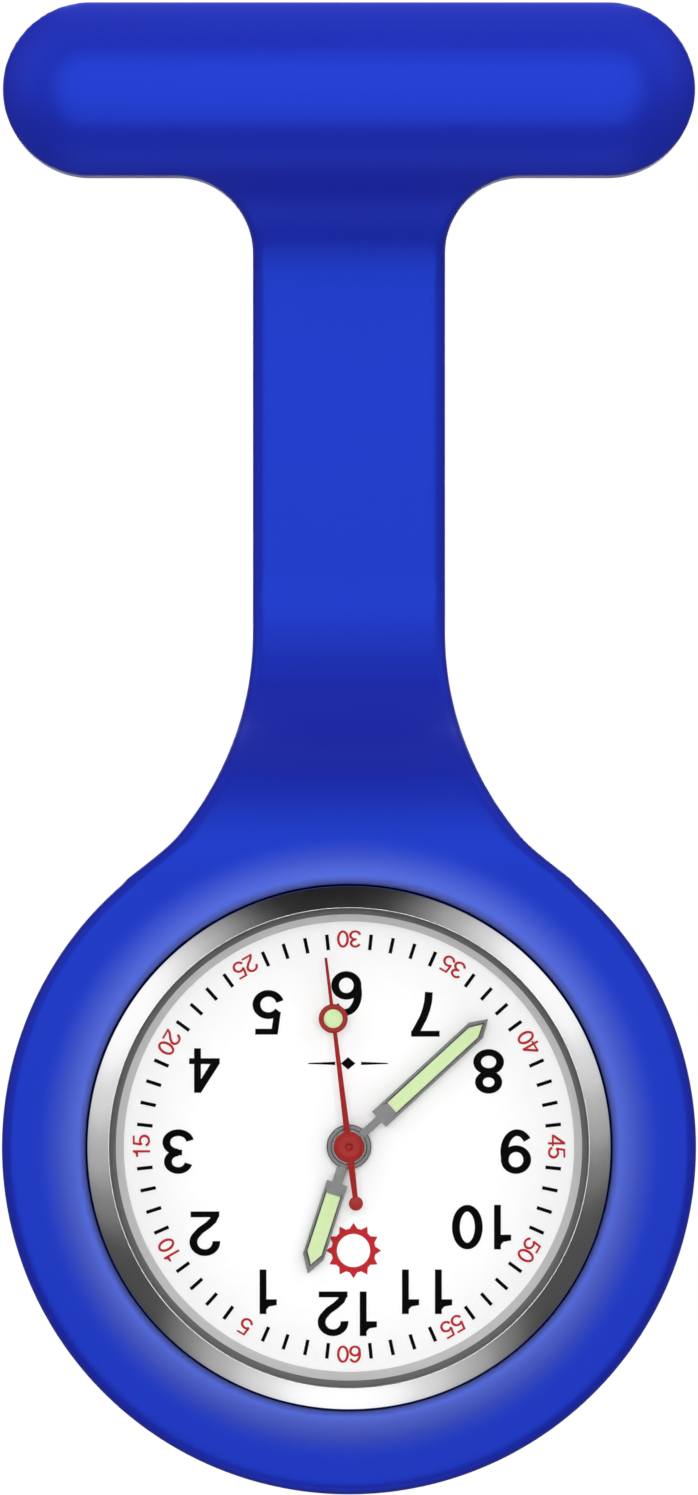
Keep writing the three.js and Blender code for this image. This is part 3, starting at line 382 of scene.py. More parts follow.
def round_max(a, b, radius):
    """The overlap of two solids given as distances, with its edge rounded."""
    corner = np.hypot(np.maximum(a + radius, 0), np.maximum(b + radius, 0))
    return np.minimum(np.maximum(a, b), -radius) + corner


def smooth_min(a, b, reach):
    """The union of two solids given as distances, with its crease filled."""
    h = np.clip(0.5 + 0.5 * (b - a) / reach, 0, 1)
    return b * (1 - h) + a * h - reach * h * (1 - h)


def outline_distance(x, z):
    """Distance inside (negative) or outside the holder's outline as seen from the front."""
    x = np.abs(x)
    straight = BAR_HALF - BAR_RADIUS
    wing = STRAP_HALF + ROOT_FILLET
    flare_x = STRAP_HALF + FLARE_RADIUS
    flare_end = 15.6  # above the head's axis, inside the disc of the pocket
    end = np.hypot(np.maximum(x - straight, 0), z) - BAR_RADIUS
    fillet = ROOT_FILLET - np.hypot(x - wing, z - ROOT_Z)
    under = np.where(x < wing, fillet, -BAR_RADIUS - z)
    upper = np.where(x > straight, end, np.maximum(z - BAR_RADIUS, under))
    strap = x - STRAP_HALF
    flare = FLARE_RADIUS - np.hypot(x - flare_x, z - FLARE_Z)
    flare = np.where(x > flare_x, x - STRAP_HALF, flare)
    flare = np.maximum(flare, HEAD_Z + flare_end - z)
    disc = np.hypot(x, z - HEAD_Z) - POCKET_RADIUS
    lower = smooth_min(flare, disc, 0.5)
    return np.where(z > ROOT_Z, upper, np.where(z > FLARE_Z, strap, lower))


def ramp_table():
    """Distances below the middle of the bar, and the share of the ramp's rise reached at each."""
    depths = np.linspace(RAMP_SLOPES[0][0], RAMP_SLOPES[-1][0], 341)
    slopes = np.interp(depths, *zip(*RAMP_SLOPES))
    rise = np.concatenate([[0], np.cumsum(slopes[1:] + slopes[:-1])])
    return depths, rise / rise[-1]


RAMP_DEPTHS, RAMP_RISE = ramp_table()


def front_level(x, z):
    """The y of the front face of the strap, the ramp below it and the pocket's lip."""
    radius = np.hypot(x, z - HEAD_Z)
    ramp = np.interp(-z, RAMP_DEPTHS, RAMP_RISE)
    lip = smooth_step((BORE_RADIUS + LIP_WIDTH - radius) / LIP_WIDTH)
    return STRAP_FRONT + (POCKET_FRONT - STRAP_FRONT) * ramp - LIP_HEIGHT * lip


def box_distance(x, y, z, low, high):
    """Distance inside (negative) or outside a box."""
    return np.maximum.reduce([low[0] - x, x - high[0], low[1] - y, y - high[1], low[2] - z, z - high[2]])


def holder_distance(p):
    """Distance field of the holder: the moulded body less its pocket and its brooch recess."""
    x, y, z = p
    across = np.hypot(np.maximum(np.abs(x) - (BAR_HALF - BAR_RADIUS), 0), z)
    bar = (across ** BAR_POWER + np.abs(y - BAR_AXIS_Y) ** BAR_POWER) ** (1 / BAR_POWER) - BAR_RADIUS
    sheet = front_level(x, z) - y
    body = smooth_min(bar, sheet, 6.0)
    edge = 0.6 * smooth_step((-z - 4.5) / 5)  # the bar has its own round edge, the strap needs one
    body = round_max(outline_distance(x, z), body, edge)
    body = round_max(body, y, 0.7)
    radius = np.hypot(x, z - HEAD_Z)
    bore = np.maximum(radius - BORE_RADIUS, y - LEDGE_Y)
    body = round_max(body, -bore, 0.3)
    body = round_max(body, WINDOW_RADIUS - radius, 0.25)
    recess = box_distance(x, y, z, (-16.7, -1.3, -2.7), (16.7, 2.0, 2.7))
    band = box_distance(x, y, z, (-5.0, -0.6, -3.0), (5.0, 0.0, 3.0))
    body = round_max(body, -np.maximum(recess, -band), 0.15)
    crown_room = box_distance(x, y, z - HEAD_Z, (-16.2, -5.9, -1.9), (-12.0, -2.1, 1.9))
    return round_max(body, -crown_room, 0.15)


def net_of(field, low, high, step):
    """A closed quad skin where the field is zero: one point per mixed cell of a grid, then moved
    onto the surface along the field's slope."""
    axes = [np.arange(a, b + step, step) for a, b in zip(low, high)]
    values = field(np.meshgrid(*axes, indexing="ij"))
    inside = values < 0
    shape = np.array(inside.shape) - 1
    corners = [(i, j, k) for i in (0, 1) for j in (0, 1) for k in (0, 1)]

    def shifted(grid, offset):
        return grid[tuple(slice(o, o + n) for o, n in zip(offset, shape))]

    count = sum(shifted(inside, c).astype(int) for c in corners)
    cells = np.argwhere((count > 0) & (count < 8))
    ids = -np.ones(shape, int)
    ids[tuple(cells.T)] = np.arange(len(cells))

    total = np.zeros((len(cells), 3))
    crossings = np.zeros(len(cells))
    for start in corners:
        for axis in range(3):
            if start[axis]:
                continue
            end = tuple(1 if i == axis else s for i, s in enumerate(start))
            a = values[tuple((cells + start).T)]
            b = values[tuple((cells + end).T)]
            crossed = (a < 0) != (b < 0)
            t = np.where(crossed, a / np.where(crossed, a - b, 1), 0)
            point = cells + np.array(start, float)
            point[:, axis] += t
            total[crossed] += point[crossed]
            crossings += crossed
    points = total / crossings[:, None] * step + np.array([a[0] for a in axes])

    faces = []
    for axis in range(3):
        u, v = [i for i in range(3) if i != axis]
        ahead = np.roll(inside, -1, axis)
        crossed = inside != ahead
        edges = np.argwhere(crossed)
        kept = (edges[:, axis] < shape[axis]) & (edges[:, u] > 0) & (edges[:, v] > 0)
        edges = edges[kept & (edges[:, u] < shape[u]) & (edges[:, v] < shape[v])]
        step_u, step_v = np.eye(3, dtype=int)[u], np.eye(3, dtype=int)[v]
        around = [edges - step_u - step_v, edges - step_v, edges, edges - step_u]
        faces.append(np.stack([ids[tuple(c.T)] for c in around], axis=1))
    faces = np.concatenate(faces)

    nudge = 0.01
    for _ in range(5):
        here = field(points.T)
        slope = np.stack([
            (field((points + nudge * d).T) - field((points - nudge * d).T)) / (2 * nudge)
            for d in np.eye(3)
        ], 1)
        move = here[:, None] * slope / np.maximum((slope ** 2).sum(1), 0.1)[:, None]
        points -= np.clip(move, -0.5 * step, 0.5 * step)
    return points, faces


def silicone_holder():
    """One skin for the whole holder."""
    low = (-BAR_HALF - 1, BEZEL_LOW[1], POCKET_LOW[2] - 1)
    high = (BAR_HALF + 1, 1.0, BAR_HIGH[2] + 1)
    points, faces = net_of(holder_distance, low, high, SKIN_STEP)
    piece = add_mesh("silicone_holder", points, faces, SILICONE, 180)
    radius = np.hypot(points[:, 0], points[:, 2] - HEAD_Z)
    on_face = points[:, 1] < POCKET_FRONT + 1
    # 1 on the face at the bezel, fading outwards: where the painted highlight goes
    stretch = smooth_step((BORE_RADIUS + HALO_WIDTH - radius) / HALO_WIDTH) * on_face
    attribute = piece.data.attributes.new(PAINTED_HALO, "FLOAT", "POINT")
    attribute.data.foreach_set("value", stretch.astype(np.float32))
    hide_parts("holder_bar", "holder_strap", "holder_pocket")
    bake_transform(piece)


silicone_holder()


# ---------------------------------------------------------------- watch head


def lathe(name, profile, material, body, slot, *nodes, segments=160):
    """A turned piece about the head's axis that rides a body and stands for CAD nodes."""
    points, faces = turned(profile, segments)
    return place(add_mesh(name, points, faces, material), body, slot, *nodes)


def apply_modifiers(piece):
    """Makes a piece's modifiers part of its mesh."""
    finished = piece.evaluated_get(bpy.context.evaluated_depsgraph_get())
    piece.data = bpy.data.meshes.new_from_object(finished)
    piece.modifiers.clear()


def cut_away(piece, *tools):
    """Cuts closed tool meshes out of a piece and removes them."""
    for tool in tools:
        change = piece.modifiers.new("cut", "BOOLEAN")
        change.operation = "DIFFERENCE"
        change.solver = "EXACT"
        change.object = tool
    apply_modifiers(piece)
    for tool in tools:
        bpy.data.objects.remove(tool)


def block(low, high, material):
    """A plain box, used as a cutting tool."""
    points = [(x, y, z) for x in (low[0], high[0]) for y in (low[1], high[1]) for z in (low[2], high[2])]
    faces = [(0, 1, 3, 2), (4, 6, 7, 5), (0, 4, 5, 1), (2, 3, 7, 6), (0, 2, 6, 4), (1, 5, 7, 3)]
    return add_mesh("block", points, faces, material)


def bezel():
    """A polished ring whose cone starts at the lip round the glass and falls to the outer edge."""
    outer, front, back = BEZEL_RADIUS, BEZEL_LOW[1], BEZEL_HIGH[1]
    inner, seat, shelf = 14.07, 13.55, GASKET_SEAT_Y + 0.02
    lip = GLASS_HIGH[0] + 0.06
    fall, undercut = 0.70, front + 0.32
    lathe("bezel_ring", rounded([
        (seat, back, 0), (outer, back, 0.08), (outer, front + fall, 0.06), (lip + 0.02, front, 0.01),
        (lip, front + 0.03, 0), (lip, undercut, 0), (inner, undercut, 0), (inner, shelf, 0),
        (seat, shelf, 0.02),
    ]), MIRROR, "watch_head", "polished_steel", "bezel", segments=256)


def crystal():
    """A flat glass with a chamfered edge."""
    radius, front, back = GLASS_HIGH[0], GLASS_LOW[1], GLASS_HIGH[1]
    lathe("crystal_disc", [
        (0, back), (radius, back), (radius, front + 0.2), (radius - 0.2, front), (0, front),
    ], GLASS, "watch_head", "glass", "crystal", segments=192)


def glass_gasket():
    """An L-shaped ring: a foot under the glass and a wall round it."""
    low, high = box_mm("crystal_gasket")
    outer, front = high[0], low[1]
    inner, wall = 13.43, GLASS_HIGH[0] + 0.02
    foot = GASKET_SEAT_Y - 0.115
    lathe("glass_gasket", rounded([
        (inner, foot, 0.02), (wall, foot, 0), (wall, front, 0.03), (outer, front, 0.03),
        (outer, GASKET_SEAT_Y, 0), (inner, GASKET_SEAT_Y, 0.02),
    ]), GASKET, "watch_head", "nylon", "crystal_gasket", segments=192)


def rehaut():
    """The sloping grey ring between the dial and the glass."""
    outer, front, back = REHAUT_HIGH[0], REHAUT_LOW[1], REHAUT_HIGH[1]
    lathe("rehaut", rounded([
        (13.0, back, 0), (outer, back, 0), (outer, front, 0), (13.5, front, 0.04),
    ]), REHAUT, "watch_head", "rehaut", "rehaut_ring", segments=192)


def case_middle():
    """The band of the case, with a notch for the crown and a bore for the stem."""
    outer, front, back = CASE_HIGH[0], CASE_LOW[1], CASE_HIGH[1]
    shell = lathe("case_band", rounded([
        (12.6, -5.6, 0.05), (12.6, -1.98, 0), (13.36, -1.98, 0), (13.36, back, 0.05),
        (outer - 0.15, back, 0.3), (outer, back - 0.5, 0.3), (outer, front, 0.05),
        (13.65, front, 0), (13.65, -5.6, 0),
    ]), STEEL, "watch_head", "brushed_steel", "case_middle", segments=192)
    notch = block(
        (-outer - 1, STEM_Y - 1.6, HEAD_Z - 1.6), (-13.4, STEM_Y + 1.6, HEAD_Z + 1.6), STEEL,
    )
    bore = add_mesh("bore", *on_stem([(0, 12), (0.4, 12), (0.4, 16), (0, 16)], 32), STEEL)
    cut_away(shell, notch, bore)
    tube = add_mesh("crown_tube", *on_stem(
        [(0.4, 13.35), (0.9, 13.35), (0.9, 14.05), (0.4, 14.05)], 48), STEEL)
    place(tube, "watch_head", "brushed_steel")


def on_stem(profile, segments):
    """Points and faces of a form turned about the setting stem. The profile gives (radius,
    distance from the head's axis towards -X)."""
    points, faces = turned(profile, segments)
    return [(-y, STEM_Y + x, z) for x, y, z in points], faces


def case_back():
    """The snap-on back: a raised disc with a fine groove, a flange and a rim that goes into the case."""
    radius, back = BACK_HIGH[0], BACK_HIGH[1]
    groove, flange, inside, rim = back - 0.06, -0.85, -1.55, -2.3
    lathe("case_back_plate", rounded([
        (0, back, 0), (10.9, back, 0.02), (10.95, groove, 0.02), (11.15, groove, 0.02),
        (11.2, back, 0.02), (11.6, back, 0.1), (11.6, flange, 0.04), (radius, flange, 0.15),
        (radius, inside, 0), (12.5, inside, 0), (12.5, rim, 0.05), (11.9, rim, 0.05),
        (11.9, inside, 0), (0, inside, 0),
    ]), STEEL, "watch_head", "brushed_steel", "case_back", segments=192)


def crown():
    """A knurled cup on the setting stem, hollow towards the case."""
    low, high = box_mm("crown")
    tip_radius = high[2] - HEAD_Z
    start, end = -high[0], -low[0]
    flutes, around, depth = 22, 8, 0.09
    # Radius, distance from the head's axis, and 1 where the ring is fluted.
    rings = [
        (0.33, start + 0.92, 0), (1.25, start + 0.85, 0), (1.25, start, 0), (tip_radius - 0.06, start, 1),
        (tip_radius, start + 0.06, 1), (tip_radius, end - 0.14, 1), (tip_radius - 0.14, end, 1),
    ]
    count = flutes * around
    points, faces = [], []
    for radius, along, fluted in rings:
        for i in range(count):
            angle = 2 * math.pi * i / count
            dip = depth * (0.5 - 0.5 * math.cos(flutes * angle)) ** 2 * fluted
            y = STEM_Y + (radius - dip) * math.cos(angle)
            points.append((-along, y, HEAD_Z + (radius - dip) * math.sin(angle)))
    for k in range(len(rings) - 1):
        for i in range(count):
            j = (i + 1) % count
            faces.append((k * count + i, k * count + j, (k + 1) * count + j, (k + 1) * count + i))
    faces.append(list(range(count)))
    faces.append([(len(rings) - 1) * count + i for i in range(count)])
    piece = add_mesh("crown_knob", points, faces, POLISHED)
    place(piece, "crown", "polished_steel", "crown")


# ---------------------------------------------------------------- dial and its print


def ellipse(cx, cy, rx, ry, start, end, steps):
    """Points along an ellipse, from one angle to another in degrees."""
    angles = np.radians(np.linspace(start, end, steps + 1))
    return [(cx + rx * math.cos(a), cy + ry * math.sin(a)) for a in angles]


def stroke(path, width, across=None):
    """A path drawn with a pen: the pen is width wide, or across wide where the path runs level."""
    path = np.array(path, float)
    tangents = np.gradient(path, axis=0)
    tangents /= np.linalg.norm(tangents, axis=1)[:, None]
    normals = np.stack([-tangents[:, 1], tangents[:, 0]], 1)
    across = width if across is None else across
    pen = across + (width - across) * tangents[:, 1] ** 2
    left = path + normals * pen[:, None] / 2
    right = path - normals * pen[:, None] / 2
    return [[left[i], right[i], right[i + 1], left[i + 1]] for i in range(len(path) - 1)]


def bar_shape(x0, y0, x1, y1):
    """One upright rectangle, as a list of patches."""
    return [[(x0, y0), (x1, y0), (x1, y1), (x0, y1)]]


def digit_shapes(upright, level):
    """The ten digits as overlapping patches, each one unit high and DIGIT_WIDTH wide. The pen is
    upright wide in upright strokes and level wide in level ones."""

    def pen(path):
        return stroke(path, upright, level)

    def ring(x, y, rx, ry, start=0, end=370):
        return pen(ellipse(x, y, rx, ry, start, end, 40))

    stem, beam = 0.87 * upright, 0.87 * level
    side, top = DIGIT_WIDTH - upright / 2, 1 - level / 2
    bowl = ring(0.35, 0.32, side - 0.35, 0.32 - level / 2)
    six = bowl + ring(0.375, 0.5, 0.375 - upright / 2, top - 0.5, 38, 205)
    return {
        "0": ring(0.345, 0.5, side - 0.345, top - 0.5),
        "1": bar_shape(0.485 - stem, 0, 0.485, 1) + [
            [(0.10, 0.80 - beam), (0.34, 0.80 - beam), (0.34, 0.83), (0.10, 0.80)],
            [(0.10, 0.80), (0.34, 0.80 - beam), (0.485, 1.0), (0.375, 1.0), (0.345, 0.91), (0.27, 0.83)],
        ],
        "2": ring(0.345, top - 0.238, side - 0.345, 0.238, 185, -38)
        + pen([(0.56, 0.555), (0.45, 0.43), (0.28, 0.31), (0.16, 0.20), (0.105, 0.06)])
        + bar_shape(0.02, 0, 0.665, beam),
        "3": ring(0.335, top - 0.198, side - 0.37, 0.198, 168, -90)
        + ring(0.335, 0.518 - 0.226, side - 0.335, 0.518 - 0.226 - level / 2, 90, -170)
        + bar_shape(0.25, 0.52 - beam / 2, 0.36, 0.52 + beam / 2),
        "4": bar_shape(0.575 - stem, 0, 0.575, 1) + bar_shape(0.0, 0.225, 0.685, 0.225 + beam) + [
            [(0.575 - stem, 1.0), (0.5, 1.0), (0.5, 0.82), (0.02 + stem, 0.30), (0.0, 0.30), (0.0, 0.345)],
        ],
        "5": bar_shape(0.13, 1 - beam, 0.63, 1) + [
            [(0.125, 1.0), (0.125 + stem, 1.0), (0.06 + stem, 0.53), (0.055, 0.49)],
        ] + ring(0.335, 0.325, side - 0.335, 0.325 - level / 2, 146, -165),
        "6": six,
        "7": bar_shape(0.03, 1 - beam, 0.67, 1)
        + pen([(0.60, 0.95), (0.485, 0.74), (0.39, 0.56), (0.325, 0.38), (0.285, 0.20), (0.272, 0.0)]),
        "8": ring(0.345, top - 0.182, side - 0.385, 0.182)
        + ring(0.345, 0.288, side - 0.345, 0.288 - level / 2),
        "9": [[(0.70 - x, 1.0 - y) for x, y in patch] for patch in six],
    }


HOUR_DIGITS = digit_shapes(0.176, 0.150)
MINUTE_DIGITS = digit_shapes(0.148, 0.128)


def number_patches(text, digits, place_at, up, height, advance):
    """A number as patches on the dial, centred on a point, its top towards up. Both are (x, z)
    from the head's axis."""
    right = (up[1], -up[0])
    width = DIGIT_WIDTH + advance * (len(text) - 1)
    patches = []
    for index, digit in enumerate(text):
        for patch in digits[digit]:
            flat = []
            for u, v in patch:
                a = (u + index * advance - width / 2) * height
                b = (v - 0.5) * height
                x = place_at[0] + a * right[0] + b * up[0]
                z = place_at[1] + a * right[1] + b * up[1]
                flat.append((x, z))
            patches.append(flat)
    return patches


def printed(name, patches, material, slot):
    """Patches joined into one thin raised layer on the dial, its back a little inside the dial."""
    corners, loops = [], []
    for patch in patches:
        area = sum(a[0] * b[1] - b[0] * a[1] for a, b in zip(patch, patch[1:] + patch[:1]))
        ordered = patch if area > 0 else patch[::-1]
        loops.append(list(range(len(corners), len(corners) + len(ordered))))
        corners += [Vector((float(a), float(b))) for a, b in ordered]
    flat, _, cells, _, _, origins = delaunay_2d_cdt(corners, [], loops, 1, 1e-5)
    kept = [cell for cell, origin in zip(cells, origins) if origin]
    count = len(flat)
    points = [(p[0], DIAL_FRONT - PRINT_HEIGHT, HEAD_Z + p[1]) for p in flat]
    points += [(p[0], DIAL_FRONT + 0.01, HEAD_Z + p[1]) for p in flat]
    edges = dict.fromkeys(edge for cell in kept for edge in zip(cell, cell[1:] + cell[:1]))
    faces = [list(cell) for cell in kept] + [[v + count for v in reversed(cell)] for cell in kept]
    for a, b in edges:
        if (b, a) not in edges:
            faces.append([a, b, b + count, a + count])
    used = sorted({v for face in faces for v in face})
    order = {v: i for i, v in enumerate(used)}
    faces = [[order[v] for v in face] for face in faces]
    place(add_mesh(name, [points[v] for v in used], faces, material), "watch_head", slot)


def direction(minute):
    """The (x, z) direction of a minute on the dial, which has twelve at the bottom."""
    angle = math.radians(6 * minute)
    return (-math.sin(angle), -math.cos(angle))


def dial():
    """The white dial and its print. The frame has no slots for ink, so the print takes the slots
    nearest to it in colour."""
    radius, back = DIAL_HIGH[0], DIAL_HIGH[1]
    hole = 0.8
    points, faces = turned(
        [(hole, DIAL_FRONT), (radius, DIAL_FRONT), (radius, back), (hole, back)], 192,
    )
    place(add_mesh("dial_face", points, faces, DIAL), "watch_head", "dial_white", "dial")

    ticks = []
    near, far = TICK_RING
    for minute in range(60):
        if minute % 5:
            out = direction(minute)
            side = (out[1], -out[0])
            ticks.append([
                (out[0] * r + side[0] * s, out[1] * r + side[1] * s)
                for r, s in (
                    (near, -TICK_HALF), (far, -TICK_HALF), (far, TICK_HALF), (near, TICK_HALF),
                )
            ])
    printed("minute_ticks", ticks, BLACK_INK, "black_rubber")

    red = []
    for minute in range(5, 65, 5):
        out = direction(minute)
        up = (-out[0], -out[1]) if 20 <= minute <= 40 else out
        where = (out[0] * MINUTE_RING, out[1] * MINUTE_RING)
        red += number_patches(
            str(minute), MINUTE_DIGITS, where, up, MINUTE_HEIGHT, MINUTE_ADVANCE,
        )
    printed("minute_numbers", red, RED_INK, "second_red")

    black = []
    for text, where in HOUR_PLACES.items():
        black += number_patches(text, HOUR_DIGITS, where, (0, -1), HOUR_HEIGHT, HOUR_ADVANCE)
    printed("hour_numbers", black, BLACK_INK, "black_rubber")
    printed("dial_ornament", ornament_patches((-0.05, 4.8)), BLACK_INK, "black_rubber")
    printed("dial_rosette", rosette_patches((0.26, -6.0), 1.6), RED_INK, "second_red")


def ornament_patches(centre):
    """A small level ornament: a lozenge between two tapered lines."""
    x, z = centre
    patches = [[(x - 0.42, z), (x, z - 0.36), (x + 0.42, z), (x, z + 0.36)]]
    for side in (-1, 1):
        patches.append([
            (x + side * 0.75, z - 0.09), (x + side * 2.3, z - 0.03), (x + side * 2.3, z + 0.03),
            (x + side * 0.75, z + 0.09),
        ])
    return patches


def rosette_patches(centre, radius):
    """A plain ring with twelve small points."""
    x, z = centre
    patches = stroke(ellipse(x, z, 0.70 * radius, 0.70 * radius, 0, 360, 48), 0.2 * radius)
    for i in range(12):
        angle = math.radians(30 * i)
        out = np.array([math.cos(angle), math.sin(angle)])
        side = np.array([-out[1], out[0]])
        patches.append([
            tuple(np.array(centre) + (out * r + side * s) * radius)
            for r, s in ((0.74, 0.17), (0.74, -0.17), (1.0, 0.0))
        ])
    return patches


# ---------------------------------------------------------------- hands


def pointing(points, angle):
    """Turns points made pointing up to a direction on the dial, in degrees clockwise from twelve."""
    turn = math.radians(angle + 180)
    cos, sin = math.cos(turn), math.sin(turn)
    return [(x * cos + z * sin, y, HEAD_Z - x * sin + z * cos) for x, y, z in points]


class Shell:
    """Points and faces of a piece, gathered from several closed forms."""

    def __init__(self):
        self.points = []
        self.faces = []

    def add(self, points, faces):
        start = len(self.points)
        self.points += [tuple(p) for p in points]
        self.faces += [[start + v for v in face] for face in faces]

    def loops(self, *loops, closed=True):
        """Skins between loops of equal length, and from the last back to the first if closed."""
        count = len(loops[0])
        start = len(self.points)
        for loop in loops:
            self.points += [tuple(p) for p in loop]
        pairs = list(zip(range(len(loops)), range(1, len(loops))))
        if closed:
            pairs.append((len(loops) - 1, 0))
        for a, b in pairs:
            for i in range(count):
                j = (i + 1) % count
                near, far = start + a * count, start + b * count
                self.faces.append([near + i, near + j, far + j, far + i])

    def roof(self, outline, ridge_start, ridge_end, back, side, top):
        """A bar whose face rises to a ridge. The outline is four (x, z) corners round the bar and
        the ridge joins two (x, z) points."""
        lower = [(x, back, z) for x, z in outline]
        upper = [(x, side, z) for x, z in outline]
        ridge = [(ridge_start[0], top, ridge_start[1]), (ridge_end[0], top, ridge_end[1])]
        faces = [(3, 2, 1, 0)] + [(i, (i + 1) % 4, (i + 1) % 4 + 4, i + 4) for i in range(4)]
        faces += [(4, 5, 8), (5, 6, 9, 8), (6, 7, 9), (7, 4, 8, 9)]
        self.add(lower + upper + ridge, faces)

    def turned(self, profile, segments, rise=0.0):
        """A form turned about an axis along Y at height rise."""
        points, faces = turned(profile, segments, rise)
        self.add(points, faces)


def blade(width, start, shoulder, tip, y):
    """The outline of a sword blade at one depth."""
    half = width / 2
    return [(-half, y, start), (half, y, start), (half, y, shoulder), (0, y, tip), (-half, y, shoulder)]


def hand(name, body, node, angle, hub, neck, outer, inner):
    """A sword hand: a bevelled frame round a lume strip, on a bevelled stalk and a turned hub.
    outer and inner give the width, start, shoulder and tip of the frame and of the strip."""
    low, high = box_mm(node)
    front, back = low[1], high[1]
    side = front + 0.022
    start = outer[1]
    shell = Shell()
    crest = tuple(0.35 * a + 0.65 * b for a, b in zip(outer, inner))
    shell.loops(
        blade(*outer, back), blade(*outer, side), blade(*crest, front),
        blade(*inner, side), blade(*inner, back),
    )
    half, end = neck / 2, start + 0.12
    shell.roof(
        [(-half, 0), (half, 0), (half, end), (-half, end)], (0, 0), (0, end), back, side, front,
    )
    pipe = hub * 0.5
    shell.turned(rounded([
        (pipe, back, 0), (hub, back, 0), (hub, front + 0.05, 0.01), (hub - 0.05, front, 0.01),
        (pipe, front, 0),
    ], 2), 72)
    piece = add_mesh(name, pointing(shell.points, angle), shell.faces, HAND_STEEL, 12)
    place(piece, body, "hand_steel", node)

    insert = Shell()
    gap = 0.02
    lume_width, lume_start, lume_shoulder, lume_tip = inner
    strip = (lume_width - 2 * gap, lume_start + gap, lume_shoulder, lume_tip - gap)
    dome = (lume_width * 0.55, lume_start + 0.2, lume_shoulder - 0.08, lume_tip - 0.3)
    insert.loops(
        blade(*strip, back), blade(*strip, side + 0.005), blade(*dome, front + 0.02), closed=False,
    )
    insert.faces.append([4, 3, 2, 1, 0])
    insert.faces.append([10, 11, 12, 13, 14])
    piece = add_mesh(name + "_lume_strip", pointing(insert.points, angle), insert.faces, LUME, 40)
    place(piece, body, "lume", node + "_lume")


def second_hand():
    """A tapered red hand with a ring for its lume drop, a turned hub and a tail with a round end."""
    low, high = box_mm("second_hand")
    front, back = low[1], high[1]
    side = front + 0.07
    angle = 173
    shell = Shell()
    root, tip, tip_width = 0.37, 11.0, 0.15
    drop_at, tail_at = 7.46, -3.28
    for start, end in ((0, 6.75), (8.15, tip)):
        near, far = (root + (tip_width - root) * z / tip for z in (start, end))
        shell.roof(
            [(-near / 2, start), (near / 2, start), (far / 2, end), (-far / 2, end)], (0, start), (0, end),
            back, side, front,
        )
    shell.roof(
        [(-0.14, tail_at), (0.14, tail_at), (0.225, 0), (-0.225, 0)], (0, tail_at), (0, 0),
        back, side, front,
    )
    shell.turned(
        rounded([(0, back, 0), (0.41, back, 0), (0.41, front, 0.1), (0, front, 0)], 3), 48, tail_at,
    )
    shell.turned(rounded([
        (0.55, back, 0), (0.84, back, 0), (0.84, front, 0.1), (0.55, front, 0.1),
    ], 3), 64, drop_at)
    shell.turned(rounded([
        (0, back, 0), (0.88, back, 0), (0.88, front + 0.05, 0.1), (0.6, front - 0.03, 0.1),
        (0.24, front - 0.03, 0.02), (0.2, front + 0.03, 0.02), (0.15, front + 0.03, 0.02),
        (0.12, front - 0.06, 0.03), (0, front - 0.06, 0),
    ], 4), 72)
    piece = add_mesh("second_hand_red", pointing(shell.points, angle), shell.faces, RED_LACQUER, 25)
    place(piece, "seconds", "second_red", "second_hand")

    drop = Shell()
    drop.turned(rounded([
        (0, back, 0), (0.545, back, 0), (0.545, side, 0.03), (0.3, front + 0.02, 0.1),
        (0, front + 0.01, 0),
    ], 3), 48, drop_at)
    piece = add_mesh("second_hand_lume_drop", pointing(drop.points, angle), drop.faces, LUME, 60)
    place(piece, "seconds", "lume", "second_hand_lume")


bezel()
crystal()
glass_gasket()
rehaut()
case_middle()
case_back()
crown()
dial()
hand(
    "hour_hand_frame", "hours", "hour_hand", angle=18, hub=1.29, neck=0.6,
    outer=(1.24, 2.2, 6.67, 7.7), inner=(0.87, 2.9, 6.45, 7.13),
)
hand(
    "minute_hand_frame", "minutes", "minute_hand", angle=227.4, hub=1.05, neck=0.45,
    outer=(1.2, 2.35, 9.95, 10.9), inner=(0.77, 3.35, 9.75, 10.45),
)
second_hand()


# ---------------------------------------------------------------- brooch


def softened(name, node, body, width):
    """The form of a CAD node with every sharp edge broken by a small round."""
    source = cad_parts[node]
    mesh = source.data.copy()
    mesh.transform(source.matrix_world)
    work = bmesh.new()
    work.from_mesh(mesh)
    bmesh.ops.remove_doubles(work, verts=work.verts, dist=0.002 * MM)
    work.normal_update()
    sharp = [e for e in work.edges if e.is_manifold and e.calc_face_angle(0) > math.radians(40)]
    bmesh.ops.bevel(
        work, geom=sharp, offset=width * MM, segments=3, profile=0.5, affect="EDGES",
        clamp_overlap=True,
    )
    points = [v.co / MM for v in work.verts]
    faces = [[v.index for v in f.verts] for f in work.faces]
    work.free()
    bpy.data.meshes.remove(mesh)
    piece = add_mesh(name, points, faces, POLISHED, 50)
    piece.modifiers.new("flats", "WEIGHTED_NORMAL").keep_sharp = True
    apply_modifiers(piece)
    place(piece, body, "polished_steel", node)


softened("brooch_plate", "brooch_base", "holder", 0.06)
softened("brooch_pin", "brooch_needle", "needle", 0.04)
softened("brooch_hinge_rivet", "brooch_rivet", "holder", 0.04)
softened("brooch_catch", "catch_rotor", "catch", 0.04)


# ---------------------------------------------------------------- CAD nodes that stay in sight

